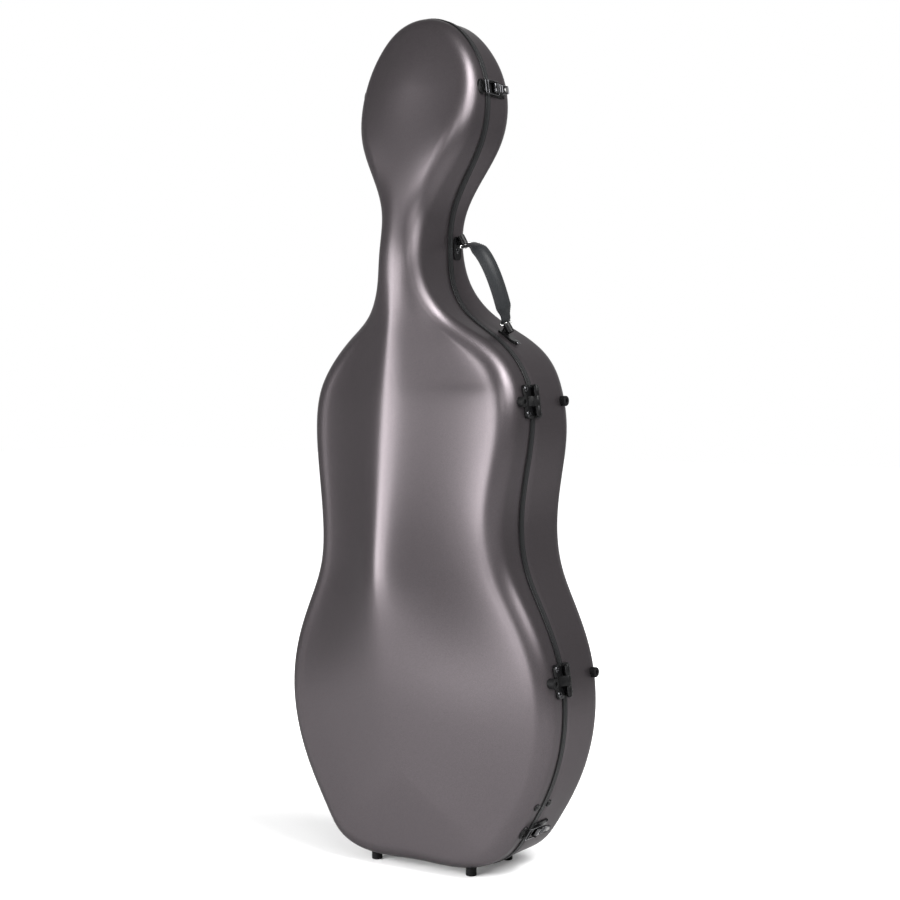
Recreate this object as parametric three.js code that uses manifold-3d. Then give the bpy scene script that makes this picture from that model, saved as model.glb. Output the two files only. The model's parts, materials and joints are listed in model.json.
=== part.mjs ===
// Cello hard case: two moulded half shells that meet at a seam in the plane y = 0.
// x points to the hinge side, y to the back of the case and z up from the floor.
// The lid is the half at negative y, the base is the half at positive y. Millimetres.

import * as THREE from 'three';
import { mergeVertices } from 'three/addons/utils/BufferGeometryUtils.js';
import Module from 'manifold-3d';

const wasm = await Module();
wasm.setup();

// Driving dimensions of the two shells
const shellHeight = 1310;
const lowerBoutWidth = 485;
const waistWidth = 332;
const upperBoutWidth = 369;
const neckWidth = 75;
const headWidth = 211;
const lidDepth = 145;
const baseDepth = 149;
const shellThickness = 3;
const liningThickness = 4;
const fitGap = 0.3;

// Seam profiles on the two rims
const trimProud = 1.8;
const trimThickness = 1.6;
const lidTrimHeight = 4.5;
const baseTrimHeight = 8;

// Hinges
const hingeStandoff = 10.5;
const hingeHeight = 52;
const hingeLeafDepth = 22.5;
const hingeLeafThickness = 3.2;
const hingeCornerRadius = 7;
const hingeWebShare = 0.42;
const knuckleRadius = 5.5;
const barrelLength = 46;
const hingePinRadius = 2;
const pinHeadRadius = 3.2;
const pinHeadHeight = 1.6;
const runningGap = 0.4;

// Draw latches
const latchWidth = 24;
const latchPlateThickness = 2;
const latchPlateLength = 42;
const leverPivotDepth = 15;
const leverPivotHeight = 6.6;
const leverWidth = 14;
const leverLength = 35;
const leverHubRadius = 3.6;
const leverArmThickness = 5;
const leverTipThickness = 2.2;
const leverTipLift = 4.5;
const pivotPinRadius = 1.5;
const cheekThickness = 1.5;
const cheekRadius = 4.5;
const cheekFootLength = 14;
const bailArm = 10;
const bailWireDiameter = 2.2;
const bailBendRadius = 3;
const bailEndDepth = 3;
const bailHookReach = 12;
const hookGap = 0.35;
const hookTabThickness = 1.2;
const hookTabWidth = 13;
const hookTabLip = 0.5;
const keeperLength = 16.5;
const latchCornerRadius = 6;

// Feet
const bottomFootHeight = 14;
const bottomFootDiameter = 17;
const lidFootDepth = 18;
const baseFootDepth = 90;
const bottomFootSpacing = 178;
const sideFootDiameter = 16;
const sideFootHeight = 9;
const lidSideFootDepth = 32;
const baseSideFootDepth = 95;
const backFootDiameter = 24;
const backFootHeight = 8;
const footEdgeRadius = 2;
const seatDepth = 8;

// Handle
const handlePivotHeight = 13;
const upperBracketDepth = 20;
const lowerBracketDepth = 40;
const bracketPlateWidth = 20;
const bracketPlateLength = 36;
const bracketPlateDrop = 10;
const bracketPlateThickness = 3;
const bracketCornerRadius = 7;
const bracketBossDiameter = 12;
const bracketBossLength = 10;
const bracketPostDiameter = 9;
const handlePinRadius = 2.5;
const handlePinLength = 8;
const gripWidth = 27;
const gripThickness = 13;
const strapWidth = 22;
const strapThickness = 4.5;
const strapEndRadius = 8;
const gripRise = 35;
const gripSkewShare = 0.45;
const gripRestTurn = -34 * Math.PI / 180;

// Lid stay
const stayAnchorDepth = 18;
const stayAnchorHeadDiameter = 12;
const stayAnchorHeadHeight = 2.5;
const stayAnchorShaftDiameter = 5;
const stayAnchorWasherDiameter = 13;
const stayStrapWidth = 20;
const stayStrapThickness = 1.8;
const stayWasherThickness = 2.4;
const stayLoopReach = 46;

// Pads and holders inside
const endCushionWidth = 250;
const endCushionHeight = 46;
const endCushionDepth = 104;
const backPadWidth = 236;
const backPadHeight = 70;
const backPadThickness = 26;
const padEdgeClearance = 10;
const padCrownRise = 5;
const padLevelShares = [[0, 0.96], [0.45, 1], [0.8, 0.975], [0.93, 0.9], [1, 0.78]];
const padDomeShares = [0.45, 0.8];
const cradleWidth = 60;
const cradleHeight = 64;
const cradleFrontDepth = 14;
const neckRestRadius = 19;
const neckRestFloor = 10;
const neckBandHeight = 38;
const neckBandThickness = 3;
const neckBandRise = 26;
const neckBandInset = 2.5;
const bowRestThickness = 22;
const bowNotchRadius = 7;
const bowSpacing = 64;
const bowTipSpacing = 26;
const frogRestWidth = 130;
const tipRestWidth = 54;
const frogRestDepth = 92;
const tipRestDepth = 38;

// Places along the height, as shares of the shell's height
const lowerHingeShare = 0.2295;
const upperHingeShare = 0.5493;
const headLatchShare = 0.9137;
const cornerLatchShare = 0.0495;
const stayShare = 0.0817;
const upperBracketShare = 0.738;
const lowerBracketShare = 0.629;
const lowerBackFootShare = 0.13;
const upperBackFootShare = 0.5;
const backPadShare = 0.545;
const cradleShare = 0.735;
const frogRestShare = 0.245;
const tipRestShare = 0.772;
const backFootSpacingShare = 0.45;

// The right half of the seam outline: the width that a point follows, the share of it, and its height share
const outlineShares = [
  [lowerBoutWidth, 0, 0],
  [lowerBoutWidth, 0.392, 0.0011],
  [lowerBoutWidth, 0.6186, 0.0183],
  [lowerBoutWidth, 0.7258, 0.0435],
  [lowerBoutWidth, 0.8784, 0.0931],
  [lowerBoutWidth, 0.9732, 0.145],
  [lowerBoutWidth, 1, 0.2],
  [lowerBoutWidth, 0.9526, 0.255],
  [lowerBoutWidth, 0.833, 0.3084],
  [waistWidth, 1.06, 0.3527],
  [waistWidth, 1, 0.4084],
  [waistWidth, 1.054, 0.4656],
  [upperBoutWidth, 1, 0.513],
  [upperBoutWidth, 0.9648, 0.5695],
  [upperBoutWidth, 0.8542, 0.5977],
  [upperBoutWidth, 0.6341, 0.626],
  [neckWidth, 1.787, 0.6546],
  [neckWidth, 1.187, 0.6832],
  [neckWidth, 1, 0.7214],
  [neckWidth, 1.131, 0.7695],
  [headWidth, 0.6387, 0.8118],
  [headWidth, 0.9057, 0.8542],
  [headWidth, 1, 0.8969],
  [headWidth, 0.9245, 0.9359],
  [headWidth, 0.6953, 0.9699],
  [headWidth, 0.4151, 0.9908],
  [headWidth, 0, 1],
];

// How each half is formed along the height: height share, then share of the half's depth
const lidForm = {
  side: -1,
  depth: lidDepth,
  wallShares: [[0, 0.18], [0.05, 0.135], [0.11, 0.13], [0.2, 0.17], [0.33, 0.235], [0.41, 0.33],
    [0.51, 0.26], [0.57, 0.2], [0.615, 0.2], [0.66, 0.395], [0.72, 0.51], [0.77, 0.41],
    [0.82, 0.31], [0.87, 0.205], [0.92, 0.1], [1, 0.045]],
  shoulderShares: [[0, 0.21], [0.05, 0.22], [0.11, 0.22], [0.2, 0.21], [0.5, 0.22], [0.6, 0.24],
    [0.66, 0.22], [0.72, 0.2], [0.78, 0.2], [0.85, 0.22], [0.92, 0.22], [1, 0.22]],
  crownShares: [[0, 0.44], [0.05, 0.5], [0.08, 0.55], [0.15, 0.67], [0.2, 0.77], [0.27, 0.9],
    [0.34, 1], [0.41, 0.965], [0.51, 0.88], [0.6, 0.79], [0.66, 0.735], [0.72, 0.725],
    [0.77, 0.655], [0.82, 0.57], [0.87, 0.48], [0.92, 0.41], [1, 0.33]],
  ridgeShares: [[0, 0.4], [0.1, 0.4], [0.2, 0.55], [0.27, 0.85], [0.35, 1], [0.57, 1],
    [0.63, 0.6], [0.69, 0], [0.8, 0], [1, 0]],
};
const baseForm = {
  side: 1,
  depth: baseDepth,
  wallShares: [[0, 0.62], [0.3, 0.63], [0.45, 0.69], [0.52, 0.65], [0.57, 0.61], [0.625, 0.63],
    [0.66, 0.45], [0.72, 0.22], [0.78, 0.22], [0.85, 0.32], [0.92, 0.34], [1, 0.27]],
  shoulderShares: [[0, 0.3], [0.3, 0.3], [0.55, 0.3], [0.66, 0.24], [0.72, 0.2], [0.78, 0.2],
    [0.85, 0.24], [1, 0.24]],
  crownShares: [[0, 0.97], [0.2, 1], [0.5, 1], [0.6, 0.93], [0.66, 0.68], [0.72, 0.49],
    [0.78, 0.5], [0.85, 0.6], [0.92, 0.63], [1, 0.6]],
  ridgeShares: [[0, 0], [0.5, 0], [1, 0]],
};
const lowFocusShare = 0.12;
const highFocusShare = 0.915;
const ridgeRoundingShare = 0.12;
const ridgeHollow = 1.4;
const slopeProbeShare = 0.97;
const leastTurn = 0.6;
const mostTurn = 1.7;
const turnTries = 12;

// How finely the forms are cut into facets
const outlineSteps = 26;
const fineSteps = 720;
const bendLength = 80;
const turnStepShares = [1, 0.67, 0.33, 0];
const lidCrownStepShares = [0, 0.1, 0.25, 0.5, 0.78];
const baseCrownStepShares = [0, 0.35, 0.7];
const roundSides = 16;
const footSides = 14;
const pinSides = 12;
const slimSides = 8;
const wireSides = 6;
const cornerSegments = 4;
const profileSegments = 6;
const bendSegments = 2;
const gripStations = 12;
const gripSides = 10;
const strapFoldSteps = 14;
const padSides = 24;

// Materials
const finish = (color, roughness, metalness) =>
  new THREE.MeshStandardMaterial({ color, roughness, metalness });
const lacquer = finish(0x8a8084, 0.35, 0.6);
const blackProfile = finish(0x1b1b1d, 0.5, 0.2);
const blackMetal = finish(0x17171a, 0.4, 0.7);
const blackNickel = finish(0x3c3c40, 0.2, 1);
const rubber = finish(0x141415, 0.85, 0);
const velvet = finish(0x2b2a2e, 1, 0);
const webbing = finish(0x101012, 0.9, 0);
const leather = finish(0x161517, 0.7, 0);

// A smooth curve through values at rising places, with free ends or ends that run level
function splineThrough(places, values, levelEnds) {
  const last = places.length - 1;
  const span = index => places[index + 1] - places[index];
  const slope = index => (values[index + 1] - values[index]) / span(index);
  const factors = [];
  const rights = [];
  for (let index = 0; index <= last; index += 1) {
    const before = index > 0 ? span(index - 1) : 0;
    const after = index < last ? span(index) : 0;
    const inside = index > 0 && index < last;
    const slopeBefore = index > 0 ? slope(index - 1) : 0;
    const slopeAfter = index < last ? slope(index) : 0;
    const lower = inside || levelEnds ? before : 0;
    const upper = inside || levelEnds ? after : 0;
    const middle = inside || levelEnds ? 2 * (before + after) : 1;
    const right = inside || levelEnds ? 6 * (slopeAfter - slopeBefore) : 0;
    const pivot = middle - (index > 0 ? lower * factors[index - 1] : 0);
    factors.push(upper / pivot);
    rights.push((right - (index > 0 ? lower * rights[index - 1] : 0)) / pivot);
  }
  const bends = rights.slice();
  for (let index = last - 1; index >= 0; index -= 1) {
    bends[index] = rights[index] - factors[index] * bends[index + 1];
  }
  return place => {
    let index = 0;
    while (index < last - 1 && place > places[index + 1]) {
      index += 1;
    }
    const share = (place - places[index]) / span(index);
    const rest = 1 - share;
    const bend = (rest ** 3 - rest) * bends[index] + (share ** 3 - share) * bends[index + 1];
    return rest * values[index] + share * values[index + 1] + bend * span(index) ** 2 / 6;
  };
}

// The right half of the outline as points with the direction that faces into the case
function traceOutline() {
  const xs = outlineShares.map(([width, widthShare]) => widthShare * width / 2);
  const zs = outlineShares.map(([, , heightShare]) => heightShare * shellHeight + bottomFootHeight);
  const places = [0];
  for (let index = 1; index < xs.length; index += 1) {
    const chord = Math.hypot(xs[index] - xs[index - 1], zs[index] - zs[index - 1]);
    places.push(places[index - 1] + chord);
  }
  const xAt = splineThrough(places, xs, false);
  const zAt = splineThrough(places, zs, true);
  const length = places[places.length - 1];
  const points = [];
  for (let index = 0; index <= fineSteps; index += 1) {
    const place = length * index / fineSteps;
    points.push(new THREE.Vector2(xAt(place), zAt(place)));
  }
  return points.map((point, index) => {
    const before = index > 0 ? points[index - 1] : mirrored(points[1]);
    const after = index < fineSteps ? points[index + 1] : mirrored(points[fineSteps - 1]);
    const along = after.clone().sub(before).normalize();
    return { x: point.x, z: point.y, inX: -along.y, inZ: along.x };
  });
}

function mirrored(point) {
  return new THREE.Vector2(-point.x, point.y);
}

const fineOutline = traceOutline();

// Outline points for the facets, closer together where the outline bends
function spreadOutline(steps) {
  const costs = [0];
  for (let index = 1; index <= fineSteps; index += 1) {
    const here = fineOutline[index];
    const before = fineOutline[index - 1];
    const run = Math.hypot(here.x - before.x, here.z - before.z);
    const turn = Math.hypot(here.inX - before.inX, here.inZ - before.inZ);
    costs.push(costs[index - 1] + run + bendLength * turn);
  }
  const half = [];
  for (let step = 0; step <= steps; step += 1) {
    const wanted = costs[fineSteps] * step / steps;
    half.push(fineOutline[costs.findIndex(cost => cost >= wanted - fitGap / fineSteps)]);
  }
  half[0] = { ...half[0], x: 0, inX: 0, inZ: 1 };
  half[steps] = { ...half[steps], x: 0, inX: 0, inZ: -1 };
  const left = half.slice(1, steps).reverse();
  return half.concat(left.map(edge => ({ x: -edge.x, z: edge.z, inX: -edge.inX, inZ: edge.inZ })));
}

const outline = spreadOutline(outlineSteps);

// A size that changes along the height
function alongHeight(shares, size) {
  const rule = splineThrough(shares.map(row => row[0]), shares.map(row => row[1]), false);
  return z => size * rule((z - bottomFootHeight) / shellHeight);
}

lidForm.crownStepShares = lidCrownStepShares;
baseForm.crownStepShares = baseCrownStepShares;
for (const form of [lidForm, baseForm]) {
  form.wall = alongHeight(form.wallShares, form.depth);
  form.shoulder = alongHeight(form.shoulderShares, form.depth);
  form.crown = alongHeight(form.crownShares, form.depth);
  form.ridge = alongHeight(form.ridgeShares, 1);
}

// How far the face has dropped from the middle line, as a share, for a ridged or a domed face
function crownDrop(outShare, ridge) {
  const rounding = ridgeRoundingShare;
  const rounded = (Math.hypot(outShare, rounding) - rounding) / (Math.hypot(1, rounding) - rounding);
  const ridged = 1 - (1 - Math.min(rounded, 1)) ** ridgeHollow;
  return ridge * ridged + (1 - ridge) * outShare ** 2;
}

// A point of the face, between the middle line and the place where the shoulder has made its turn
function facePoint(form, edge, turn, outShare) {
  const lowFocus = bottomFootHeight + lowFocusShare * shellHeight;
  const highFocus = bottomFootHeight + highFocusShare * shellHeight;
  const radius = form.shoulder(edge.z);
  const inward = radius * (1 - Math.cos(turn));
  const outerX = edge.x + edge.inX * inward;
  const outerZ = edge.z + edge.inZ * inward;
  const outerDepth = form.wall(edge.z) + radius * Math.sin(turn);
  const focus = THREE.MathUtils.clamp(outerZ, lowFocus, highFocus);
  const z = focus + (outerZ - focus) * outShare;
  const ridge = THREE.MathUtils.clamp(form.ridge(z), 0, 1);
  const fall = form.crown(outerZ) - outerDepth;
  const depth = form.crown(z) - fall * crownDrop(outShare, ridge);
  return { x: outerX * outShare, z, depth, outerDepth, reach: Math.hypot(outerX, outerZ - focus) };
}

// The angle at which each shoulder arc runs into the slope of the face
function shoulderTurn(form, edge) {
  let turn = Math.PI / 2;
  for (let index = 0; index < turnTries; index += 1) {
    const probe = facePoint(form, edge, turn, slopeProbeShare);
    const slope = (probe.depth - probe.outerDepth) / ((1 - slopeProbeShare) * probe.reach);
    const met = THREE.MathUtils.clamp(Math.PI / 2 - Math.atan(slope), leastTurn, mostTurn);
    turn = (turn + met) / 2;
  }
  return turn;
}

for (const form of [lidForm, baseForm]) {
  form.turns = outline.map(edge => shoulderTurn(form, edge));
}

// Rings of points round one half, moved inwards from its outer face by the inset
function rimRing(form, inset, depth) {
  return outline.map(edge => new THREE.Vector3(
    edge.x + edge.inX * inset, form.side * depth, edge.z + edge.inZ * inset));
}

function shoulderRing(form, inset, turnShare) {
  return outline.map((edge, index) => {
    const angle = form.turns[index] * turnShare;
    const radius = form.shoulder(edge.z);
    const inward = radius - (radius - inset) * Math.cos(angle);
    const depth = form.wall(edge.z) + (radius - inset) * Math.sin(angle);
    return new THREE.Vector3(edge.x + edge.inX * inward, form.side * depth, edge.z + edge.inZ * inward);
  });
}

function crownRing(form, inset, outShare) {
  return outline.map((edge, index) => {
    const point = facePoint(form, edge, form.turns[index], outShare);
    return new THREE.Vector3(point.x, form.side * (point.depth - inset), point.z);
  });
}

function faceRings(form, inset) {
  const crowns = form.crownStepShares.map(share => crownRing(form, inset, share));
  return [...crowns, ...turnStepShares.map(share => shoulderRing(form, inset, share))];
}

// A closed geometry from rings with as many points each; the last ring can join the first.
// Facets are split alike in both halves of the rings, so that nested skins stay parallel.
function ringGeometry(rings, closed) {
  const count = rings[0].length;
  const positions = rings.flat().flatMap(point => [point.x, point.y, point.z]);
  const corners = [];
  const joins = closed ? rings.length : rings.length - 1;
  for (let ring = 0; ring < joins; ring += 1) {
    const next = (ring + 1) % rings.length;
    for (let index = 0; index < count; index += 1) {
      const beside = (index + 1) % count;
      const [a, b] = [ring * count + index, ring * count + beside];
      const [c, d] = [next * count + beside, next * count + index];
      const crossed = (index >= count / 2) !== (ring >= rings.length / 2);
      corners.push(...(crossed ? [a, b, d, b, c, d] : [a, b, c, a, c, d]));
    }
  }
  const geometry = new THREE.BufferGeometry();
  geometry.setAttribute('position', new THREE.Float32BufferAttribute(positions, 3));
  geometry.setIndex(corners);
  return facedOut(geometry);
}

// The same geometry with shared corners, no empty triangles and its faces pointing out
function facedOut(geometry) {
  const bare = new THREE.BufferGeometry();
  bare.setAttribute('position', geometry.getAttribute('position'));
  bare.setIndex(geometry.getIndex());
  const merged = mergeVertices(bare, fitGap / 1000);
  const index = merged.getIndex().array;
  const at = merged.getAttribute('position');
  const corner = which => new THREE.Vector3().fromBufferAttribute(at, which);
  const kept = [];
  let volume = 0;
  for (let start = 0; start < index.length; start += 3) {
    const [a, b, c] = [index[start], index[start + 1], index[start + 2]];
    if (a !== b && b !== c && c !== a) {
      kept.push([a, b, c]);
      volume += corner(a).dot(corner(b).cross(corner(c)));
    }
  }
  merged.setIndex(kept.flatMap(([a, b, c]) => (volume < 0 ? [a, c, b] : [a, b, c])));
  return merged;
}

// Solids for cutting and joining
function solidOf(geometry) {
  const clean = facedOut(geometry.getIndex() ? geometry : mergeVertices(geometry));
  return new wasm.Manifold(new wasm.Mesh({
    numProp: 3,
    vertProperties: new Float32Array(clean.getAttribute('position').array),
    triVerts: new Uint32Array(clean.getIndex().array),
  }));
}

function geometryOf(solid) {
  const mesh = solid.getMesh();
  const geometry = new THREE.BufferGeometry();
  geometry.setAttribute('position', new THREE.Float32BufferAttribute(mesh.vertProperties, mesh.numProp));
  geometry.setIndex(new THREE.Uint32BufferAttribute(mesh.triVerts, 1));
  geometry.computeVertexNormals();
  return geometry;
}

// Basic shapes, all centred on the local origin unless their ends are given
function block(fromX, toX, fromY, toY, fromZ, toZ) {
  const geometry = new THREE.BoxGeometry(toX - fromX, toY - fromY, toZ - fromZ);
  geometry.translate((fromX + toX) / 2, (fromY + toY) / 2, (fromZ + toZ) / 2);
  return solidOf(geometry);
}

function rodAlongZ(radius, fromZ, toZ, sides = roundSides) {
  const geometry = new THREE.CylinderGeometry(radius, radius, toZ - fromZ, sides);
  geometry.rotateX(Math.PI / 2);
  geometry.translate(0, 0, (fromZ + toZ) / 2);
  return solidOf(geometry);
}

function rodAlongX(radius, fromX, toX, sides = roundSides) {
  const geometry = new THREE.CylinderGeometry(radius, radius, toX - fromX, sides);
  geometry.rotateZ(Math.PI / 2);
  geometry.translate((fromX + toX) / 2, 0, 0);
  return solidOf(geometry);
}

// A profile in x and y, drawn out along z to both sides of the middle
function drawnOut(shape, width, curveSegments = profileSegments) {
  const geometry = new THREE.ExtrudeGeometry(shape, { depth: width, bevelEnabled: false, curveSegments });
  geometry.translate(0, 0, -width / 2);
  return solidOf(geometry);
}

// A plate in y and z with rounded corners, from one height to another along x
function roundedPlate(fromX, toX, fromY, toY, width, cornerRadius) {
  const radius = Math.min(cornerRadius, (toY - fromY) / 2, width / 2);
  const shape = new THREE.Shape();
  const half = width / 2;
  shape.absarc(toY - radius, half - radius, radius, 0, Math.PI / 2);
  shape.absarc(fromY + radius, half - radius, radius, Math.PI / 2, Math.PI);
  shape.absarc(fromY + radius, radius - half, radius, Math.PI, Math.PI * 1.5);
  shape.absarc(toY - radius, radius - half, radius, Math.PI * 1.5, Math.PI * 2);
  const geometry = new THREE.ExtrudeGeometry(shape, {
    depth: toX - fromX, bevelEnabled: false, curveSegments: cornerSegments,
  });
  const turn = new THREE.Matrix4().makeBasis(
    new THREE.Vector3(0, 1, 0), new THREE.Vector3(0, 0, 1), new THREE.Vector3(1, 0, 0));
  geometry.applyMatrix4(turn);
  geometry.translate(fromX, 0, 0);
  return solidOf(geometry);
}

// Scene helpers
const caseAssembly = new THREE.Group();

function addPart(parent, name, geometry, material) {
  const mesh = new THREE.Mesh(geometry, material);
  mesh.name = name;
  parent.add(mesh);
  return mesh;
}

function placedGroup(matrix) {
  const group = new THREE.Group();
  matrix.decompose(group.position, group.quaternion, group.scale);
  caseAssembly.add(group);
  return group;
}

function moved(solid, matrix) {
  const geometry = geometryOf(solid);
  geometry.applyMatrix4(matrix);
  return solidOf(geometry);
}

// A frame on the seam outline: x out of the case, y to the back, z along the outline
function seamFrame(heightShare, sideways) {
  const height = heightShare * shellHeight + bottomFootHeight;
  const index = fineOutline.findIndex(edge => edge.z >= height);
  const above = fineOutline[index];
  const below = fineOutline[index - 1];
  const share = (height - below.z) / (above.z - below.z);
  const x = below.x + (above.x - below.x) * share;
  const out = new THREE.Vector3(-sideways * above.inX, 0, -above.inZ).normalize();
  const back = new THREE.Vector3(0, 1, 0);
  const along = new THREE.Vector3().crossVectors(out, back);
  return new THREE.Matrix4().makeBasis(out, back, along).setPosition(sideways * x, 0, height);
}

// The case's whole outer body with its trims, grown by the gap that seated pieces keep
function bodyWithTrims(growth) {
  const proud = trimProud + growth;
  const lidEdge = lidTrimHeight + growth;
  const baseEdge = baseTrimHeight + growth;
  return solidOf(ringGeometry([
    ...faceRings(lidForm, -growth),
    rimRing(lidForm, -growth, lidEdge),
    rimRing(lidForm, -proud, lidEdge),
    rimRing(baseForm, -proud, baseEdge),
    rimRing(baseForm, -growth, baseEdge),
    ...faceRings(baseForm, -growth).reverse(),
  ], false));
}

// The room inside one half, clear of its lining
function roomInside(form) {
  const inset = shellThickness + liningThickness + 2 * fitGap;
  return solidOf(ringGeometry([
    ...faceRings(form, inset),
    rimRing(form, inset, 0),
    ...faceRings({ ...form, side: -form.side }, inset).reverse(),
  ], false));
}

const outerBody = bodyWithTrims(fitGap);
const lidRoom = roomInside(lidForm);
const baseRoom = roomInside(baseForm);

// Cuts a piece to sit on the case's outside, in the piece's own frame
function seatedOutside(solid, frame) {
  const seated = moved(solid, frame).subtract(outerBody);
  return geometryOf(moved(seated, frame.clone().invert()));
}

// Shells, linings and seam profiles
function makeSkin(form, fromInset, toInset, rimDepth) {
  return solidOf(ringGeometry([
    ...faceRings(form, fromInset),
    rimRing(form, fromInset, rimDepth),
    rimRing(form, toInset, rimDepth),
    ...faceRings(form, toInset).reverse(),
  ], false));
}

function makeTrim(form, height) {
  const seam = fitGap / 2;
  const rim = seam + trimThickness;
  const inner = shellThickness + fitGap;
  return ringGeometry([
    rimRing(form, -trimProud, seam),
    rimRing(form, -trimProud, height),
    rimRing(form, -fitGap, height),
    rimRing(form, -fitGap, rim),
    rimRing(form, inner, rim),
    rimRing(form, inner, seam),
  ], true);
}

const rimDepth = fitGap / 2 + trimThickness + fitGap;
const liningInset = shellThickness + fitGap;

function stayFrame(form) {
  return seamFrame(stayShare, 1).multiply(
    new THREE.Matrix4().makeTranslation(0, form.side * stayAnchorDepth, 0));
}

function makeHalf(form, name, trimHeight) {
  const through = shellThickness + liningThickness + seatDepth;
  const boreRadius = stayAnchorShaftDiameter / 2 + fitGap;
  const bore = moved(rodAlongX(boreRadius, -through, seatDepth, slimSides), stayFrame(form));
  const shell = makeSkin(form, 0, shellThickness, rimDepth).subtract(bore);
  const lining = makeSkin(form, liningInset, liningInset + liningThickness, rimDepth).subtract(bore);
  addPart(caseAssembly, `${name}_shell`, geometryOf(shell), lacquer);
  addPart(caseAssembly, `${name}_lining`, geometryOf(lining), velvet);
  addPart(caseAssembly, `${name}_edge_trim`, makeTrim(form, trimHeight), blackProfile);
}

makeHalf(lidForm, 'lid', lidTrimHeight);
makeHalf(baseForm, 'base', baseTrimHeight);

// Hinges: both turn about one straight line that touches the two bouts from outside
function hingeLine() {
  const lower = new THREE.Vector3().setFromMatrixPosition(seamFrame(lowerHingeShare, 1));
  const upper = new THREE.Vector3().setFromMatrixPosition(seamFrame(upperHingeShare, 1));
  const along = upper.clone().sub(lower).normalize();
  const back = new THREE.Vector3(0, 1, 0);
  const out = new THREE.Vector3().crossVectors(back, along);
  return [lower, upper].map(point => new THREE.Matrix4().makeBasis(out, back, along)
    .setPosition(point.clone().addScaledVector(out, hingeStandoff)));
}

function hingeLeafBody(side) {
  const root = -hingeStandoff - seatDepth;
  const face = hingeLeafThickness - hingeStandoff;
  const crest = knuckleRadius * Math.SQRT1_2;
  const foot = hingeLeafDepth * hingeWebShare;
  const shape = new THREE.Shape([
    new THREE.Vector2(root, side * runningGap),
    new THREE.Vector2(0, side * runningGap),
    new THREE.Vector2(crest, side * crest),
    new THREE.Vector2(face, side * foot),
    new THREE.Vector2(face, side * hingeLeafDepth),
    new THREE.Vector2(root, side * hingeLeafDepth),
  ]);
  const outlineCut = roundedPlate(root, knuckleRadius * 2, -hingeLeafDepth, hingeLeafDepth,
    hingeHeight, hingeCornerRadius);
  return drawnOut(shape, hingeHeight).intersect(outlineCut);
}

function makeHinge(frame, name) {
  const group = placedGroup(frame);
  const zone = barrelLength / 6;
  const end = barrelLength / 2;
  const clear = knuckleRadius + runningGap;
  const overrun = hingeHeight;
  const bore = rodAlongZ(hingePinRadius + fitGap, -overrun, overrun, pinSides);
  const middle = rodAlongZ(knuckleRadius, runningGap / 2 - zone, zone - runningGap / 2);
  const lower = rodAlongZ(knuckleRadius, -end, -zone - runningGap / 2);
  const upper = rodAlongZ(knuckleRadius, zone + runningGap / 2, end);
  const lidLeaf = hingeLeafBody(-1)
    .subtract(rodAlongZ(clear, -overrun, -zone))
    .subtract(rodAlongZ(clear, zone, overrun))
    .add(middle).subtract(bore);
  const baseLeaf = hingeLeafBody(1)
    .subtract(rodAlongZ(clear, -zone, zone))
    .subtract(rodAlongZ(clear, end, overrun))
    .subtract(rodAlongZ(clear, -overrun, -end))
    .add(lower).add(upper).subtract(bore);
  const pinEnd = end + fitGap;
  const headEnd = pinEnd + pinHeadHeight;
  const pin = rodAlongZ(hingePinRadius, -pinEnd, pinEnd, pinSides)
    .add(rodAlongZ(pinHeadRadius, pinEnd, headEnd, pinSides))
    .add(rodAlongZ(pinHeadRadius, -headEnd, -pinEnd, pinSides));
  addPart(group, `${name}_lid_leaf`, seatedOutside(lidLeaf, frame), blackMetal);
  addPart(group, `${name}_base_leaf`, seatedOutside(baseLeaf, frame), blackMetal);
  addPart(group, `${name}_pin`, geometryOf(pin), blackMetal);
}

const [lowerHingeFrame, upperHingeFrame] = hingeLine();
makeHinge(lowerHingeFrame, 'lower_hinge');
makeHinge(upperHingeFrame, 'upper_hinge');

// A wire that lies in the plane of y and z, along points with rounded bends
function flatWire(points, radius, bendRadius, sides) {
  const path = [];
  points.forEach(([y, z], index) => {
    const here = new THREE.Vector2(y, z);
    if (index === 0 || index === points.length - 1) {
      path.push(here);
      return;
    }
    const before = new THREE.Vector2(...points[index - 1]).sub(here).setLength(bendRadius).add(here);
    const after = new THREE.Vector2(...points[index + 1]).sub(here).setLength(bendRadius).add(here);
    path.push(...new THREE.QuadraticBezierCurve(before, here, after).getPoints(bendSegments));
  });
  const rings = path.map((point, index) => {
    const before = path[Math.max(index - 1, 0)];
    const after = path[Math.min(index + 1, path.length - 1)];
    const along = after.clone().sub(before).normalize();
    return Array.from({ length: sides }, (_, side) => {
      const angle = 2 * Math.PI * side / sides;
      const across = radius * Math.cos(angle);
      return new THREE.Vector3(
        radius * Math.sin(angle), point.x - along.y * across, point.y + along.x * across);
    });
  });
  return ringGeometry([capRing(path[0], sides), ...rings, capRing(path[path.length - 1], sides)], false);
}

function capRing(point, sides) {
  return Array.from({ length: sides }, () => new THREE.Vector3(0, point.x, point.y));
}

// Draw latches: a keeper on the lid, and a plate, a lever and a wire bail on the base
function keeperSolid() {
  const wireRadius = bailWireDiameter / 2;
  const tabFar = bailHookReach - wireRadius - hookGap;
  const tabNear = tabFar - hookTabThickness;
  const tabTop = leverPivotHeight + wireRadius + hookTabLip;
  const far = -tabNear - keeperLength;
  return roundedPlate(-seatDepth, latchPlateThickness, far, -tabNear, latchWidth, latchCornerRadius)
    .add(block(-seatDepth, tabTop, -tabFar, -tabNear, -hookTabWidth / 2, hookTabWidth / 2));
}

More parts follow.
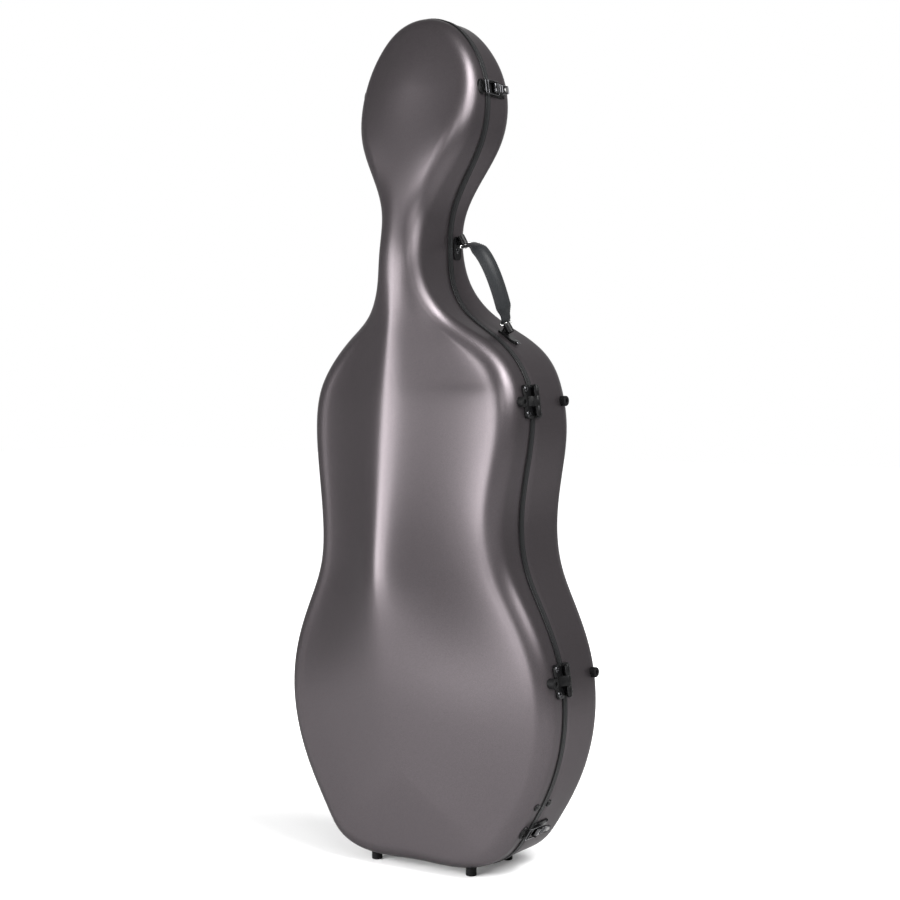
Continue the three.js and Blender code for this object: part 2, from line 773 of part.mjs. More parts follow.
function latchPlateSolid() {
  const start = baseTrimHeight + runningGap;
  const cheekInside = leverWidth / 2 + fitGap;
  const shape = new THREE.Shape();
  shape.moveTo(-seatDepth, leverPivotDepth - cheekFootLength / 2);
  shape.lineTo(latchPlateThickness, leverPivotDepth - cheekFootLength / 2);
  shape.lineTo(leverPivotHeight, leverPivotDepth - cheekRadius);
  shape.absarc(leverPivotHeight, leverPivotDepth, cheekRadius, -Math.PI / 2, Math.PI / 2);
  shape.lineTo(latchPlateThickness, leverPivotDepth + cheekFootLength / 2);
  shape.lineTo(-seatDepth, leverPivotDepth + cheekFootLength / 2);
  const onAxis = new THREE.Matrix4().makeTranslation(leverPivotHeight, leverPivotDepth, 0);
  const pinReach = cheekInside + cheekThickness / 2;
  const end = start + latchPlateLength;
  let plate = roundedPlate(-seatDepth, latchPlateThickness, start, end, latchWidth, latchCornerRadius)
    .add(moved(rodAlongZ(pivotPinRadius, -pinReach, pinReach, slimSides), onAxis));
  for (const side of [-1, 1]) {
    const aside = side * (cheekInside + cheekThickness / 2);
    const sideways = new THREE.Matrix4().makeTranslation(0, 0, aside);
    plate = plate.add(moved(drawnOut(shape, cheekThickness, cornerSegments), sideways));
  }
  return plate;
}

function leverGeometry() {
  const half = leverArmThickness / 2;
  const shape = new THREE.Shape();
  shape.moveTo(-leverHubRadius, 0);
  shape.absarc(0, 0, leverHubRadius, Math.PI, Math.PI * 2);
  shape.quadraticCurveTo(half, bailArm, half, leverLength / 2);
  shape.quadraticCurveTo(half, leverLength - half, leverTipLift, leverLength);
  shape.lineTo(leverTipLift - leverTipThickness, leverLength);
  shape.quadraticCurveTo(-half, leverLength - half, -half, leverLength / 2);
  const pinHole = new THREE.Path();
  pinHole.absarc(0, 0, pivotPinRadius + fitGap, 0, Math.PI * 2);
  const wireHole = new THREE.Path();
  wireHole.absarc(0, bailArm, bailWireDiameter / 2 + fitGap, 0, Math.PI * 2);
  shape.holes.push(pinHole, wireHole);
  return geometryOf(drawnOut(shape, leverWidth, cornerSegments));
}

function bailGeometry() {
  const aside = leverWidth / 2 + fitGap + cheekThickness + runningGap + bailWireDiameter / 2;
  const inside = leverWidth / 2 - bailEndDepth;
  const reach = leverPivotDepth + bailArm + bailHookReach;
  const points = [[0, inside], [0, aside], [-reach, aside], [-reach, -aside], [0, -aside], [0, -inside]];
  return flatWire(points, bailWireDiameter / 2, bailBendRadius, wireSides);
}

function makeLatch(name, heightShare, sideways) {
  const frame = seamFrame(heightShare, sideways);
  const group = placedGroup(frame);
  addPart(group, `${name}_keeper`, seatedOutside(keeperSolid(), frame), blackMetal);
  addPart(group, `${name}_plate`, seatedOutside(latchPlateSolid(), frame), blackMetal);
  const leverGroup = new THREE.Group();
  leverGroup.position.set(leverPivotHeight, leverPivotDepth, 0);
  group.add(leverGroup);
  addPart(leverGroup, `${name}_lever`, leverGeometry(), blackNickel);
  const bail = addPart(leverGroup, `${name}_bail`, bailGeometry(), blackNickel);
  bail.position.set(0, bailArm, 0);
}

const latchPlaces = [
  ['hinge_side_head_latch', headLatchShare, 1],
  ['hinge_side_corner_latch', cornerLatchShare, 1],
  ['head_latch', headLatchShare, -1],
  ['upper_bout_latch', upperHingeShare, -1],
  ['lower_bout_latch', lowerHingeShare, -1],
  ['corner_latch', cornerLatchShare, -1],
];
for (const [name, heightShare, sideways] of latchPlaces) {
  makeLatch(name, heightShare, sideways);
}

// Rubber feet, turned about their own axis, which points out of the case along z
function footSolid(diameter, height) {
  const radius = diameter / 2;
  const profile = [
    [0, -seatDepth - diameter / 2], [radius, -seatDepth - diameter / 2], [radius, height - footEdgeRadius],
    [radius - footEdgeRadius * (1 - Math.SQRT1_2), height - footEdgeRadius * (1 - Math.SQRT1_2)],
    [radius - footEdgeRadius, height], [0, height],
  ];
  const geometry = new THREE.LatheGeometry(profile.map(([x, y]) => new THREE.Vector2(x, y)), footSides);
  geometry.rotateX(Math.PI / 2);
  return solidOf(geometry);
}

// A frame whose z axis points in the given direction
function axisFrame(position, direction) {
  const turn = new THREE.Quaternion().setFromUnitVectors(new THREE.Vector3(0, 0, 1), direction);
  return new THREE.Matrix4().compose(position, turn, new THREE.Vector3(1, 1, 1));
}

function makeFoot(name, diameter, height, position, direction) {
  const frame = axisFrame(position, direction);
  const group = placedGroup(frame);
  addPart(group, name, seatedOutside(footSolid(diameter, height), frame), rubber);
}

const sideNames = [['right', 1], ['left', -1]];
for (const [sideName, sideways] of sideNames) {
  const x = sideways * bottomFootSpacing / 2;
  const down = new THREE.Vector3(0, 0, -1);
  const spots = [['lid', -lidFootDepth], ['base', baseFootDepth]];
  for (const [half, depth] of spots) {
    makeFoot(`${half}_bottom_foot_${sideName}`, bottomFootDiameter, bottomFootHeight,
      new THREE.Vector3(x, depth, bottomFootHeight), down);
  }
}

const hingeHeights = [['lower', lowerHingeShare], ['upper', upperHingeShare]];
for (const [levelName, heightShare] of hingeHeights) {
  const wallPoint = new THREE.Vector3().setFromMatrixPosition(seamFrame(heightShare, 1));
  const out = new THREE.Vector3(1, 0, 0);
  const spots = [['lid', -lidSideFootDepth], ['base', baseSideFootDepth]];
  for (const [half, depth] of spots) {
    makeFoot(`${half}_side_foot_${levelName}`, sideFootDiameter, sideFootHeight,
      wallPoint.clone().setY(depth), out);
  }
}

const backFootLevels = [['lower', lowerBackFootShare], ['upper', upperBackFootShare]];
for (const [levelName, heightShare] of backFootLevels) {
  const seam = new THREE.Vector3().setFromMatrixPosition(seamFrame(heightShare, 1));
  for (const [sideName, sideways] of sideNames) {
    const place = new THREE.Vector3(sideways * backFootSpacingShare * seam.x, baseDepth, seam.z);
    makeFoot(`back_foot_${levelName}_${sideName}`, backFootDiameter, backFootHeight,
      place, new THREE.Vector3(0, 1, 0));
  }
}

// Carrying handle: a padded grip that swings between two brackets on the base's side
function bracketPlace(heightShare, depth) {
  const lift = new THREE.Matrix4().makeTranslation(handlePivotHeight, depth, 0);
  return seamFrame(heightShare, 1).multiply(lift);
}

const upperBracketFrame = bracketPlace(upperBracketShare, upperBracketDepth);
const lowerBracketFrame = bracketPlace(lowerBracketShare, lowerBracketDepth);
const upperPivot = new THREE.Vector3().setFromMatrixPosition(upperBracketFrame);
const lowerPivot = new THREE.Vector3().setFromMatrixPosition(lowerBracketFrame);
const handleAxis = upperPivot.clone().sub(lowerPivot).normalize();

function handleFrame() {
  const outward = frame => new THREE.Vector3().setFromMatrixColumn(frame, 0);
  const out = outward(upperBracketFrame).add(outward(lowerBracketFrame));
  out.addScaledVector(handleAxis, -out.dot(handleAxis)).normalize();
  out.applyAxisAngle(handleAxis, gripRestTurn);
  const across = new THREE.Vector3().crossVectors(handleAxis, out);
  const middle = upperPivot.clone().add(lowerPivot).multiplyScalar(0.5);
  return new THREE.Matrix4().makeBasis(out, across, handleAxis).setPosition(middle);
}

function makeBracket(name, frame, pivot) {
  const half = bracketPlateWidth / 2;
  const foot = new THREE.Matrix4().makeTranslation(-handlePivotHeight, 0, -bracketPlateDrop);
  const plate = moved(roundedPlate(-seatDepth, bracketPlateThickness, -half, half,
    bracketPlateLength, bracketCornerRadius), frame.clone().multiply(foot));
  const post = moved(rodAlongX(bracketPostDiameter / 2, -handlePivotHeight - seatDepth, 0, pinSides), frame);
  const bossFrame = axisFrame(pivot, handleAxis);
  const bossHalf = bracketBossLength / 2;
  const boss = moved(rodAlongZ(bracketBossDiameter / 2, -bossHalf, bossHalf), bossFrame);
  const boreRadius = handlePinRadius + fitGap;
  const bore = moved(rodAlongZ(boreRadius, -bracketBossLength, bracketBossLength, pinSides), bossFrame);
  const solid = plate.add(post).add(boss).subtract(bore).subtract(outerBody);
  const group = placedGroup(frame);
  addPart(group, name, geometryOf(moved(solid, frame.clone().invert())), blackMetal);
}

function makeHandle() {
  const frame = handleFrame();
  const reach = upperPivot.distanceTo(lowerPivot) / 2 - bracketBossLength / 2 - runningGap;
  const end = reach - strapThickness / 2;
  const rings = Array.from({ length: gripStations + 1 }, (_, station) => {
    const share = 2 * station / gripStations - 1;
    const swell = 1 - share ** 4;
    const level = Math.sqrt(Math.max(1 - share ** 2, 0));
    const lift = gripRise * level * (1 + gripSkewShare * share);
    const halfWidth = (strapWidth + (gripWidth - strapWidth) * swell) / 2;
    const halfThickness = (strapThickness + (gripThickness - strapThickness) * swell) / 2;
    const climb = gripSkewShare * level ** 2 - share * (1 + gripSkewShare * share);
    const tilt = Math.atan2(gripRise * climb, end * level);
    return Array.from({ length: gripSides }, (_, side) => {
      const angle = 2 * Math.PI * side / gripSides;
      const thick = halfThickness * Math.cos(angle);
      return new THREE.Vector3(
        lift + thick * Math.cos(tilt), halfWidth * Math.sin(angle), end * share - thick * Math.sin(tilt));
    });
  });
  const cap = station => rings[station].map(() => new THREE.Vector3(0, 0, station === 0 ? -end : end));
  let grip = solidOf(ringGeometry([cap(0), ...rings, cap(gripStations)], false));
  const strapEnd = rodAlongZ(strapEndRadius, -strapThickness / 2, strapThickness / 2);
  const pivotPin = rodAlongZ(handlePinRadius, -handlePinLength, handlePinLength, pinSides);
  for (const side of [-1, 1]) {
    grip = grip.add(strapEnd.add(pivotPin).translate([0, 0, side * end]));
  }
  addPart(placedGroup(frame), 'handle_grip', geometryOf(grip), leather);
}

makeBracket('upper_handle_bracket', upperBracketFrame, upperPivot);
makeBracket('lower_handle_bracket', lowerBracketFrame, lowerPivot);
makeHandle();

// Lid stay: a strap between two anchors that go through the shells
function makeStayAnchor(name, form, room) {
  const frame = stayFrame(form);
  const inner = -shellThickness - liningThickness - 2 * fitGap;
  const radius = stayAnchorShaftDiameter / 2;
  const head = rodAlongX(stayAnchorHeadDiameter / 2, -seatDepth, stayAnchorHeadHeight);
  const seatedHead = moved(head, frame).subtract(outerBody);
  const shaft = rodAlongX(radius, inner - stayWasherThickness, stayAnchorHeadHeight / 2, slimSides);
  const washerEnd = inner - fitGap;
  const washer = rodAlongX(stayAnchorWasherDiameter / 2, washerEnd - stayWasherThickness, washerEnd, pinSides);
  const back = frame.clone().invert();
  const seatedWasher = moved(washer, frame).intersect(room);
  const solid = moved(seatedHead.add(seatedWasher), back).add(shaft);
  addPart(placedGroup(frame), name, geometryOf(solid), blackMetal);
}

function makeStayStrap() {
  const frame = seamFrame(stayShare, 1);
  const start = -shellThickness - liningThickness - 2 * fitGap - stayWasherThickness - 2 * fitGap;
  const half = stayStrapThickness / 2;
  const centre = start - half;
  const outerEnd = stayAnchorDepth + stayAnchorWasherDiameter / 2;
  const innerEnd = stayAnchorDepth - stayAnchorWasherDiameter / 2;
  const points = [new THREE.Vector3(centre, -outerEnd, 0)];
  for (let step = 0; step <= strapFoldSteps; step += 1) {
    const angle = Math.PI * step / strapFoldSteps;
    points.push(new THREE.Vector3(centre - stayLoopReach * Math.sin(angle), -innerEnd * Math.cos(angle), 0));
  }
  points.push(new THREE.Vector3(centre, outerEnd, 0));
  const wide = stayStrapWidth / 2;
  const rings = points.map((point, index) => {
    const before = points[Math.max(index - 1, 0)];
    const after = points[Math.min(index + 1, points.length - 1)];
    const along = after.clone().sub(before).normalize();
    const across = new THREE.Vector3(along.y, -along.x, 0).multiplyScalar(half);
    return [[1, 1], [-1, 1], [-1, -1], [1, -1]].map(([thick, side]) =>
      point.clone().addScaledVector(across, thick).setZ(side * wide));
  });
  const first = rings[0].map(() => points[0].clone());
  const last = rings[0].map(() => points[points.length - 1].clone());
  addPart(placedGroup(frame), 'lid_stay_strap', ringGeometry([first, ...rings, last], false), webbing);
}

makeStayAnchor('lid_stay_lid_anchor', lidForm, lidRoom);
makeStayAnchor('lid_stay_base_anchor', baseForm, baseRoom);
makeStayStrap();

// A padded block with a crowned face towards negative y and drawn-in sides, standing at y = 0
function paddedBlock(width, height, depth) {
  const ring = (share, scale, lift) => Array.from({ length: padSides }, (_, side) => {
    const angle = 2 * Math.PI * side / padSides;
    const round = value => Math.sign(value) * Math.sqrt(Math.abs(value)) * scale / 2;
    return new THREE.Vector3(
      round(Math.cos(angle)) * width, -depth * share - lift, round(Math.sin(angle)) * height);
  });
  const rings = padLevelShares.map(([share, scale]) => ring(share, scale, 0));
  const [domeWidthShare, domeRiseShare] = padDomeShares;
  const dome = ring(1, domeWidthShare, padCrownRise * domeRiseShare);
  return solidOf(ringGeometry([ring(0, 0, 0), ...rings, dome, ring(1, 0, padCrownRise)], false));
}

function heightAt(heightShare) {
  return heightShare * shellHeight + bottomFootHeight;
}

function addInside(name, solid, place, room, material) {
  const frame = new THREE.Matrix4().makeTranslation(place.x, place.y, place.z);
  const fitted = moved(solid, frame).intersect(room);
  addPart(placedGroup(frame), name, geometryOf(moved(fitted, frame.clone().invert())), material);
}

function makePads() {
  const inner = shellThickness + liningThickness + 2 * fitGap;
  const endPad = paddedBlock(endCushionWidth, endCushionHeight * 2, endCushionDepth);
  const endDepth = padEdgeClearance + endCushionDepth + padCrownRise;
  const endPlace = new THREE.Vector3(0, endDepth, bottomFootHeight + inner);
  addInside('end_cushion', endPad, endPlace, baseRoom, velvet);
  const backPad = paddedBlock(backPadWidth, backPadHeight, backPadThickness);
  const backZ = heightAt(backPadShare);
  const backPlace = new THREE.Vector3(0, baseForm.crown(backZ) - inner, backZ);
  addInside('upper_back_pad', backPad, backPlace, baseRoom, velvet);
}

// Neck cradle with a round rest, and the soft band that closes over the neck
function makeNeckRest() {
  const z = heightAt(cradleShare);
  const back = baseForm.crown(z);
  const rest = rodAlongZ(neckRestRadius, -cradleHeight, cradleHeight);
  const opening = block(-neckRestRadius, neckRestRadius, -back, 0, -cradleHeight, cradleHeight);
  const inner = shellThickness + liningThickness + 2 * fitGap;
  const restDepth = back - inner - neckRestFloor - neckRestRadius - cradleFrontDepth;
  const lowered = new THREE.Matrix4().makeTranslation(0, restDepth, 0);
  const notch = rest.add(opening);
  const cradle = block(-cradleWidth / 2, cradleWidth / 2, 0, back, -cradleHeight / 2, cradleHeight / 2)
    .subtract(moved(notch, lowered));
  addInside('neck_cradle', cradle, new THREE.Vector3(0, cradleFrontDepth, z), baseRoom, velvet);
  const outer = cradleWidth / 2 - neckBandInset;
  const bandShape = new THREE.Shape();
  const foot = -fitGap;
  bandShape.moveTo(outer, foot);
  bandShape.bezierCurveTo(outer, -neckBandRise, outer / 2, -neckBandRise, 0, -neckBandRise);
  bandShape.bezierCurveTo(-outer / 2, -neckBandRise, -outer, -neckBandRise, -outer, foot);
  const inside = outer - neckBandThickness;
  const under = neckBandThickness - neckBandRise;
  bandShape.lineTo(-inside, foot);
  bandShape.bezierCurveTo(-inside, under, -inside / 2, under, 0, under);
  bandShape.bezierCurveTo(inside / 2, under, inside, under, inside, foot);
  const band = drawnOut(bandShape, neckBandHeight);
  const group = placedGroup(new THREE.Matrix4().makeTranslation(0, cradleFrontDepth, z));
  addPart(group, 'neck_band', geometryOf(band), webbing);
}

// Bow rests across the lid, each with two notches for the sticks
function makeBowRest(name, heightShare, width, depth, spacing) {
  const z = heightAt(heightShare);
  const far = lidDepth;
  let rest = block(-width / 2, width / 2, -far, -depth, -bowRestThickness / 2, bowRestThickness / 2);
  for (const side of [-1, 1]) {
    const notch = rodAlongZ(bowNotchRadius, -bowRestThickness, bowRestThickness)
      .add(block(-bowNotchRadius, bowNotchRadius, 0, depth, -bowRestThickness, bowRestThickness));
    const place = new THREE.Matrix4().makeTranslation(side * spacing / 2, -depth - bowNotchRadius, 0);
    rest = rest.subtract(moved(notch, place));
  }
  addInside(name, rest, new THREE.Vector3(0, 0, z), lidRoom, velvet);
}

makePads();
makeNeckRest();
makeBowRest('bow_frog_rest', frogRestShare, frogRestWidth, frogRestDepth, bowSpacing);
makeBowRest('bow_tip_rest', tipRestShare, tipRestWidth, tipRestDepth, bowTipSpacing);

// The origin lies on the floor, under the middle of the closed case
const bounds = new THREE.Box3().setFromObject(caseAssembly);
const centre = bounds.getCenter(new THREE.Vector3());
caseAssembly.position.set(-centre.x, -centre.y, -bounds.min.z);

export default caseAssembly;
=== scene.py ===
# Cello hard case: the finished look of every piece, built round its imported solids.
# Shapes are worked out in millimetres in the case's own frame: x to the hinge side from the
# middle line, y backwards from the seam, z up from the floor.
import json
import math

import bmesh
import bpy
import numpy as np
from mathutils import Matrix, Vector


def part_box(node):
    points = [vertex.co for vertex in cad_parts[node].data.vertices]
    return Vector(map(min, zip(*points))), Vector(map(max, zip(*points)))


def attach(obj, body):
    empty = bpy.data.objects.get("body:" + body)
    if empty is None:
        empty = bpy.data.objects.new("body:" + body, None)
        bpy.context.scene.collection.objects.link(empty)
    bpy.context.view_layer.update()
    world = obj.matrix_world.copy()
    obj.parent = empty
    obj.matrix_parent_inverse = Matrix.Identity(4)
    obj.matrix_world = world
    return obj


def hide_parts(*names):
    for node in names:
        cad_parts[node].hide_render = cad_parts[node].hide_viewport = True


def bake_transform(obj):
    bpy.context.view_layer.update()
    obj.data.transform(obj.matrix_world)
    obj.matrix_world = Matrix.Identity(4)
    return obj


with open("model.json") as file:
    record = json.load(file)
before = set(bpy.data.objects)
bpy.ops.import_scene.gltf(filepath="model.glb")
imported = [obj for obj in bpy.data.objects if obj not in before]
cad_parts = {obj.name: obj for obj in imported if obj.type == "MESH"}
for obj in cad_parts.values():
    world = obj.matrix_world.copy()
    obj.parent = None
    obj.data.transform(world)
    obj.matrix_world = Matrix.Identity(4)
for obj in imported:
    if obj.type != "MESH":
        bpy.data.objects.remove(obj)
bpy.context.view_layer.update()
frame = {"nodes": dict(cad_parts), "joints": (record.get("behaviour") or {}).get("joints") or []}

MM = 0.001
joints = {joint["name"]: joint for joint in frame["joints"]}
lid_low, lid_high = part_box("lid_shell")
base_low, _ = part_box("base_shell")
seam_y = (lid_high.y + base_low.y) / 2
middle_x = (lid_low.x + lid_high.x) / 2
case_to_row = Matrix.Translation((middle_x, seam_y, 0)) @ Matrix.Scale(MM, 4)

# Sizes of the shells, the same as in the solids
SHELL_HEIGHT = 1310
FOOT_HEIGHT = 14
LOWER_BOUT, WAIST, UPPER_BOUT, NECK, HEAD = 485, 332, 369, 75, 211
LID_DEPTH, BASE_DEPTH = 145, 149
SHELL = 3
LINING = 4
GAP = 0.3

# Rows of (share of the width, share of the height) up the outline, for each width in turn
OUTLINE_SHARES = [
    (LOWER_BOUT, [(0, 0), (0.392, 0.0011), (0.6186, 0.0183), (0.7258, 0.0435), (0.8784, 0.0931),
                  (0.9732, 0.145), (1, 0.2), (0.9526, 0.255), (0.833, 0.3084)]),
    (WAIST, [(1.06, 0.3527), (1, 0.4084), (1.054, 0.4656)]),
    (UPPER_BOUT, [(1, 0.513), (0.9648, 0.5695), (0.8542, 0.5977), (0.6341, 0.626)]),
    (NECK, [(1.787, 0.6546), (1.187, 0.6832), (1, 0.7214), (1.131, 0.7695)]),
    (HEAD, [(0.6387, 0.8118), (0.9057, 0.8542), (1, 0.8969), (0.9245, 0.9359), (0.6953, 0.9699),
            (0.4151, 0.9908), (0, 1)]),
]
LID_FORM = {
    "side": -1, "depth": LID_DEPTH,
    "wall": [(0, 0.18), (0.05, 0.135), (0.11, 0.13), (0.2, 0.17), (0.33, 0.235), (0.41, 0.33), (0.51, 0.26),
             (0.57, 0.2), (0.615, 0.2), (0.66, 0.395), (0.72, 0.51), (0.77, 0.41), (0.82, 0.31),
             (0.87, 0.205), (0.92, 0.1), (1, 0.045)],
    "shoulder": [(0, 0.21), (0.05, 0.22), (0.11, 0.22), (0.2, 0.21), (0.5, 0.22), (0.6, 0.24), (0.66, 0.22),
                 (0.72, 0.2), (0.78, 0.2), (0.85, 0.22), (0.92, 0.22), (1, 0.22)],
    "crown": [(0, 0.44), (0.05, 0.5), (0.08, 0.55), (0.15, 0.67), (0.2, 0.77), (0.27, 0.9), (0.34, 1),
              (0.41, 0.965), (0.51, 0.88), (0.6, 0.79), (0.66, 0.735), (0.72, 0.725), (0.77, 0.655),
              (0.82, 0.57), (0.87, 0.48), (0.92, 0.41), (1, 0.33)],
    "ridge": [(0, 0.4), (0.1, 0.4), (0.2, 0.55), (0.27, 0.85), (0.35, 1), (0.57, 1), (0.63, 0.6),
              (0.69, 0), (0.8, 0), (1, 0)],
}
BASE_FORM = {
    "side": 1, "depth": BASE_DEPTH,
    "wall": [(0, 0.62), (0.3, 0.63), (0.45, 0.69), (0.52, 0.65), (0.57, 0.61), (0.625, 0.63),
             (0.66, 0.45), (0.72, 0.22), (0.78, 0.22), (0.85, 0.32), (0.92, 0.34), (1, 0.27)],
    "shoulder": [(0, 0.3), (0.3, 0.3), (0.55, 0.3), (0.66, 0.24), (0.72, 0.2), (0.78, 0.2),
                 (0.85, 0.24), (1, 0.24)],
    "crown": [(0, 0.97), (0.2, 1), (0.5, 1), (0.6, 0.93), (0.66, 0.68), (0.72, 0.49),
              (0.78, 0.5), (0.85, 0.6), (0.92, 0.63), (1, 0.6)],
    "ridge": [(0, 0), (0.5, 0), (1, 0)],
}
LOW_FOCUS, HIGH_FOCUS = 0.12, 0.915
RIDGE_ROUNDING, RIDGE_HOLLOW = 0.18, 1.4


# ---- Form of the shells

def smooth_curve(places, values, level_ends=False):
    """A smooth curve through values at rising places."""
    places, values = np.asarray(places, float), np.asarray(values, float)
    spans, count = np.diff(places), len(places)
    slopes = np.diff(values) / spans
    system, right = np.zeros((count, count)), np.zeros(count)
    for row in range(count):
        if 0 < row < count - 1:
            system[row, row - 1:row + 2] = spans[row - 1], 2 * (spans[row - 1] + spans[row]), spans[row]
            right[row] = 6 * (slopes[row] - slopes[row - 1])
        elif not level_ends:
            system[row, row] = 1
        elif row == 0:
            system[0, :2] = 2 * spans[0], spans[0]
            right[0] = 6 * slopes[0]
        else:
            system[row, row - 1:] = spans[-1], 2 * spans[-1]
            right[row] = -6 * slopes[-1]
    bends = np.linalg.solve(system, right)

    def curve(place):
        index = np.clip(np.searchsorted(places, place) - 1, 0, count - 2)
        share = (place - places[index]) / spans[index]
        rest = 1 - share
        bend = (rest ** 3 - rest) * bends[index] + (share ** 3 - share) * bends[index + 1]
        return rest * values[index] + share * values[index + 1] + bend * spans[index] ** 2 / 6
    return curve


def trace_outline(steps, fine_steps=4000, bend_length=80):
    """The closed seam outline: x, z and the direction that faces into the case."""
    rows = np.array([(out * width / 2, up) for width, shares in OUTLINE_SHARES for out, up in shares])
    widths, heights = rows[:, 0], rows[:, 1] * SHELL_HEIGHT + FOOT_HEIGHT
    chords = np.hypot(np.diff(widths), np.diff(heights))
    places = np.concatenate([[0], np.cumsum(chords)])
    fine = np.linspace(0, places[-1], fine_steps + 1)
    x, z = smooth_curve(places, widths)(fine), smooth_curve(places, heights, True)(fine)
    dx = np.gradient(np.concatenate([[-x[1]], x, [-x[-2]]]))[1:-1]
    dz = np.gradient(np.concatenate([[z[1]], z, [z[-2]]]))[1:-1]
    length = np.hypot(dx, dz)
    in_x, in_z = -dz / length, dx / length
    runs = np.hypot(np.diff(x), np.diff(z)) + bend_length * np.hypot(np.diff(in_x), np.diff(in_z))
    costs = np.concatenate([[0], np.cumsum(runs)])
    pick = [int(np.searchsorted(costs, costs[-1] * step / steps - 1e-6)) for step in range(steps + 1)]
    half = np.stack([x[pick], z[pick], in_x[pick], in_z[pick]], axis=1)
    half[0, [0, 2, 3]], half[-1, [0, 2, 3]] = (0, 0, 1), (0, 0, -1)
    left = half[1:-1][::-1] * (-1, 1, -1, 1)
    return np.concatenate([half, left])


def along_height(shares, size):
    """A rule over z, from (share of the height, share of a size) rows."""
    rule = smooth_curve([row[0] for row in shares], [row[1] for row in shares])
    return lambda z: size * rule((z - FOOT_HEIGHT) / SHELL_HEIGHT)


for form in (LID_FORM, BASE_FORM):
    for rule in ("wall", "shoulder", "crown"):
        form[f"{rule}_at"] = along_height(form[rule], form["depth"])
    form["ridge_at"] = along_height(form["ridge"], 1)

OUTLINE = trace_outline(170)


def crown_drop(out_share, ridge):
    """How far the face has dropped from its middle line, as a share of the whole fall."""
    rounding = RIDGE_ROUNDING
    rounded = (math.hypot(out_share, rounding) - rounding) / (math.hypot(1, rounding) - rounding)
    ridged = 1 - (1 - min(rounded, 1)) ** RIDGE_HOLLOW
    return ridge * ridged + (1 - ridge) * out_share * out_share


def place_on_face(form, turn, out_share):
    """Height and depth on the face, from its edge at a shoulder turn to the middle line."""
    x, z, in_x, in_z = OUTLINE.T
    radius = form["shoulder_at"](z)
    inward = radius * (1 - np.cos(turn))
    edge_x, edge_z = x + in_x * inward, z + in_z * inward
    edge_depth = form["wall_at"](z) + radius * np.sin(turn)
    focus = np.clip(edge_z, FOOT_HEIGHT + LOW_FOCUS * SHELL_HEIGHT, FOOT_HEIGHT + HIGH_FOCUS * SHELL_HEIGHT)
    here_z = focus + (edge_z - focus) * out_share
    ridge = np.clip(form["ridge_at"](here_z), 0, 1)
    fall = form["crown_at"](edge_z) - edge_depth
    depth = form["crown_at"](here_z) - fall * crown_drop(out_share, ridge)
    reach = np.hypot(edge_x, edge_z - focus)
    return edge_x * out_share, here_z, depth, edge_depth, reach


def shoulder_turns(form):
    """The angle at which each shoulder arc meets the slope of the face."""
    near, rounds, least, most = 0.97, 12, 0.6, 1.7
    turn = np.full(len(OUTLINE), math.pi / 2)
    for _ in range(rounds):
        *_, depth, edge_depth, reach = place_on_face(form, turn, near)
        slope = (depth - edge_depth) / ((1 - near) * reach)
        turn = (turn + np.clip(math.pi / 2 - np.arctan(slope), least, most)) / 2
    return turn


for form in (LID_FORM, BASE_FORM):
    form["turn"] = shoulder_turns(form)


def offset_ring(form, inset, depth):
    """The outline moved inwards, at one depth from the seam."""
    x, z, in_x, in_z = OUTLINE.T
    return np.stack([x + in_x * inset, form["side"] * (depth + 0 * x), z + in_z * inset], axis=1)


def shoulder_ring(form, inset, share):
    """A ring of the shoulder, share going from the wall at 0 to the face at 1."""
    x, z, in_x, in_z = OUTLINE.T
    angle = form["turn"] * share
    radius = form["shoulder_at"](z)
    inward = radius - (radius - inset) * np.cos(angle)
    depth = form["wall_at"](z) + (radius - inset) * np.sin(angle)
    return np.stack([x + in_x * inward, form["side"] * depth, z + in_z * inward], axis=1)


def crown_ring(form, inset, out_share):
    """A ring of the face, moved inwards along the face's own slope."""
    def ring(share):
        x, z, depth, *_ = place_on_face(form, form["turn"], share)
        return np.stack([x, form["side"] * depth, z], axis=1)
    outer = ring(out_share)
    if inset == 0:
        return outer
    if out_share == 0:
        return outer - np.array([0, form["side"] * inset, 0])
    step = 0.01
    ahead = min(out_share + step, 1)
    along = ring(ahead) - ring(ahead - step)
    around = np.roll(outer, -1, 0) - np.roll(outer, 1, 0)
    normal = np.cross(along, around)
    normal /= np.linalg.norm(normal, axis=1, keepdims=True) + 1e-12
    normal *= np.where(normal[:, 1] * form["side"] < 0, -1, 1)[:, None]
    return outer - normal * inset


def nearest_on_outline(point):
    """The outline's nearest point to a place in the case's frame: x, z and the way inwards."""
    return OUTLINE[np.argmin(np.hypot(OUTLINE[:, 0] - point.x, OUTLINE[:, 1] - point.z))]


def face_rings(form, inset, crown_steps, shoulder_steps):
    """Rings of the face, from the middle line out to the foot of the shoulder."""
    crowding = 1.15
    shares = [(step / crown_steps) ** crowding for step in range(crown_steps)]
    turns = [1 - step / shoulder_steps for step in range(shoulder_steps + 1)]
    return [crown_ring(form, inset, share) for share in shares] + \
        [shoulder_ring(form, inset, share) for share in turns]


def wall_rings(form, inset, rim_depth, steps=4):
    """Rings down the straight wall, from the shoulder to the rim."""
    top = shoulder_ring(form, inset, 0)
    rim = offset_ring(form, inset, rim_depth)
    return [top + (rim - top) * step / steps for step in range(1, steps + 1)]


# ---- Mesh helpers

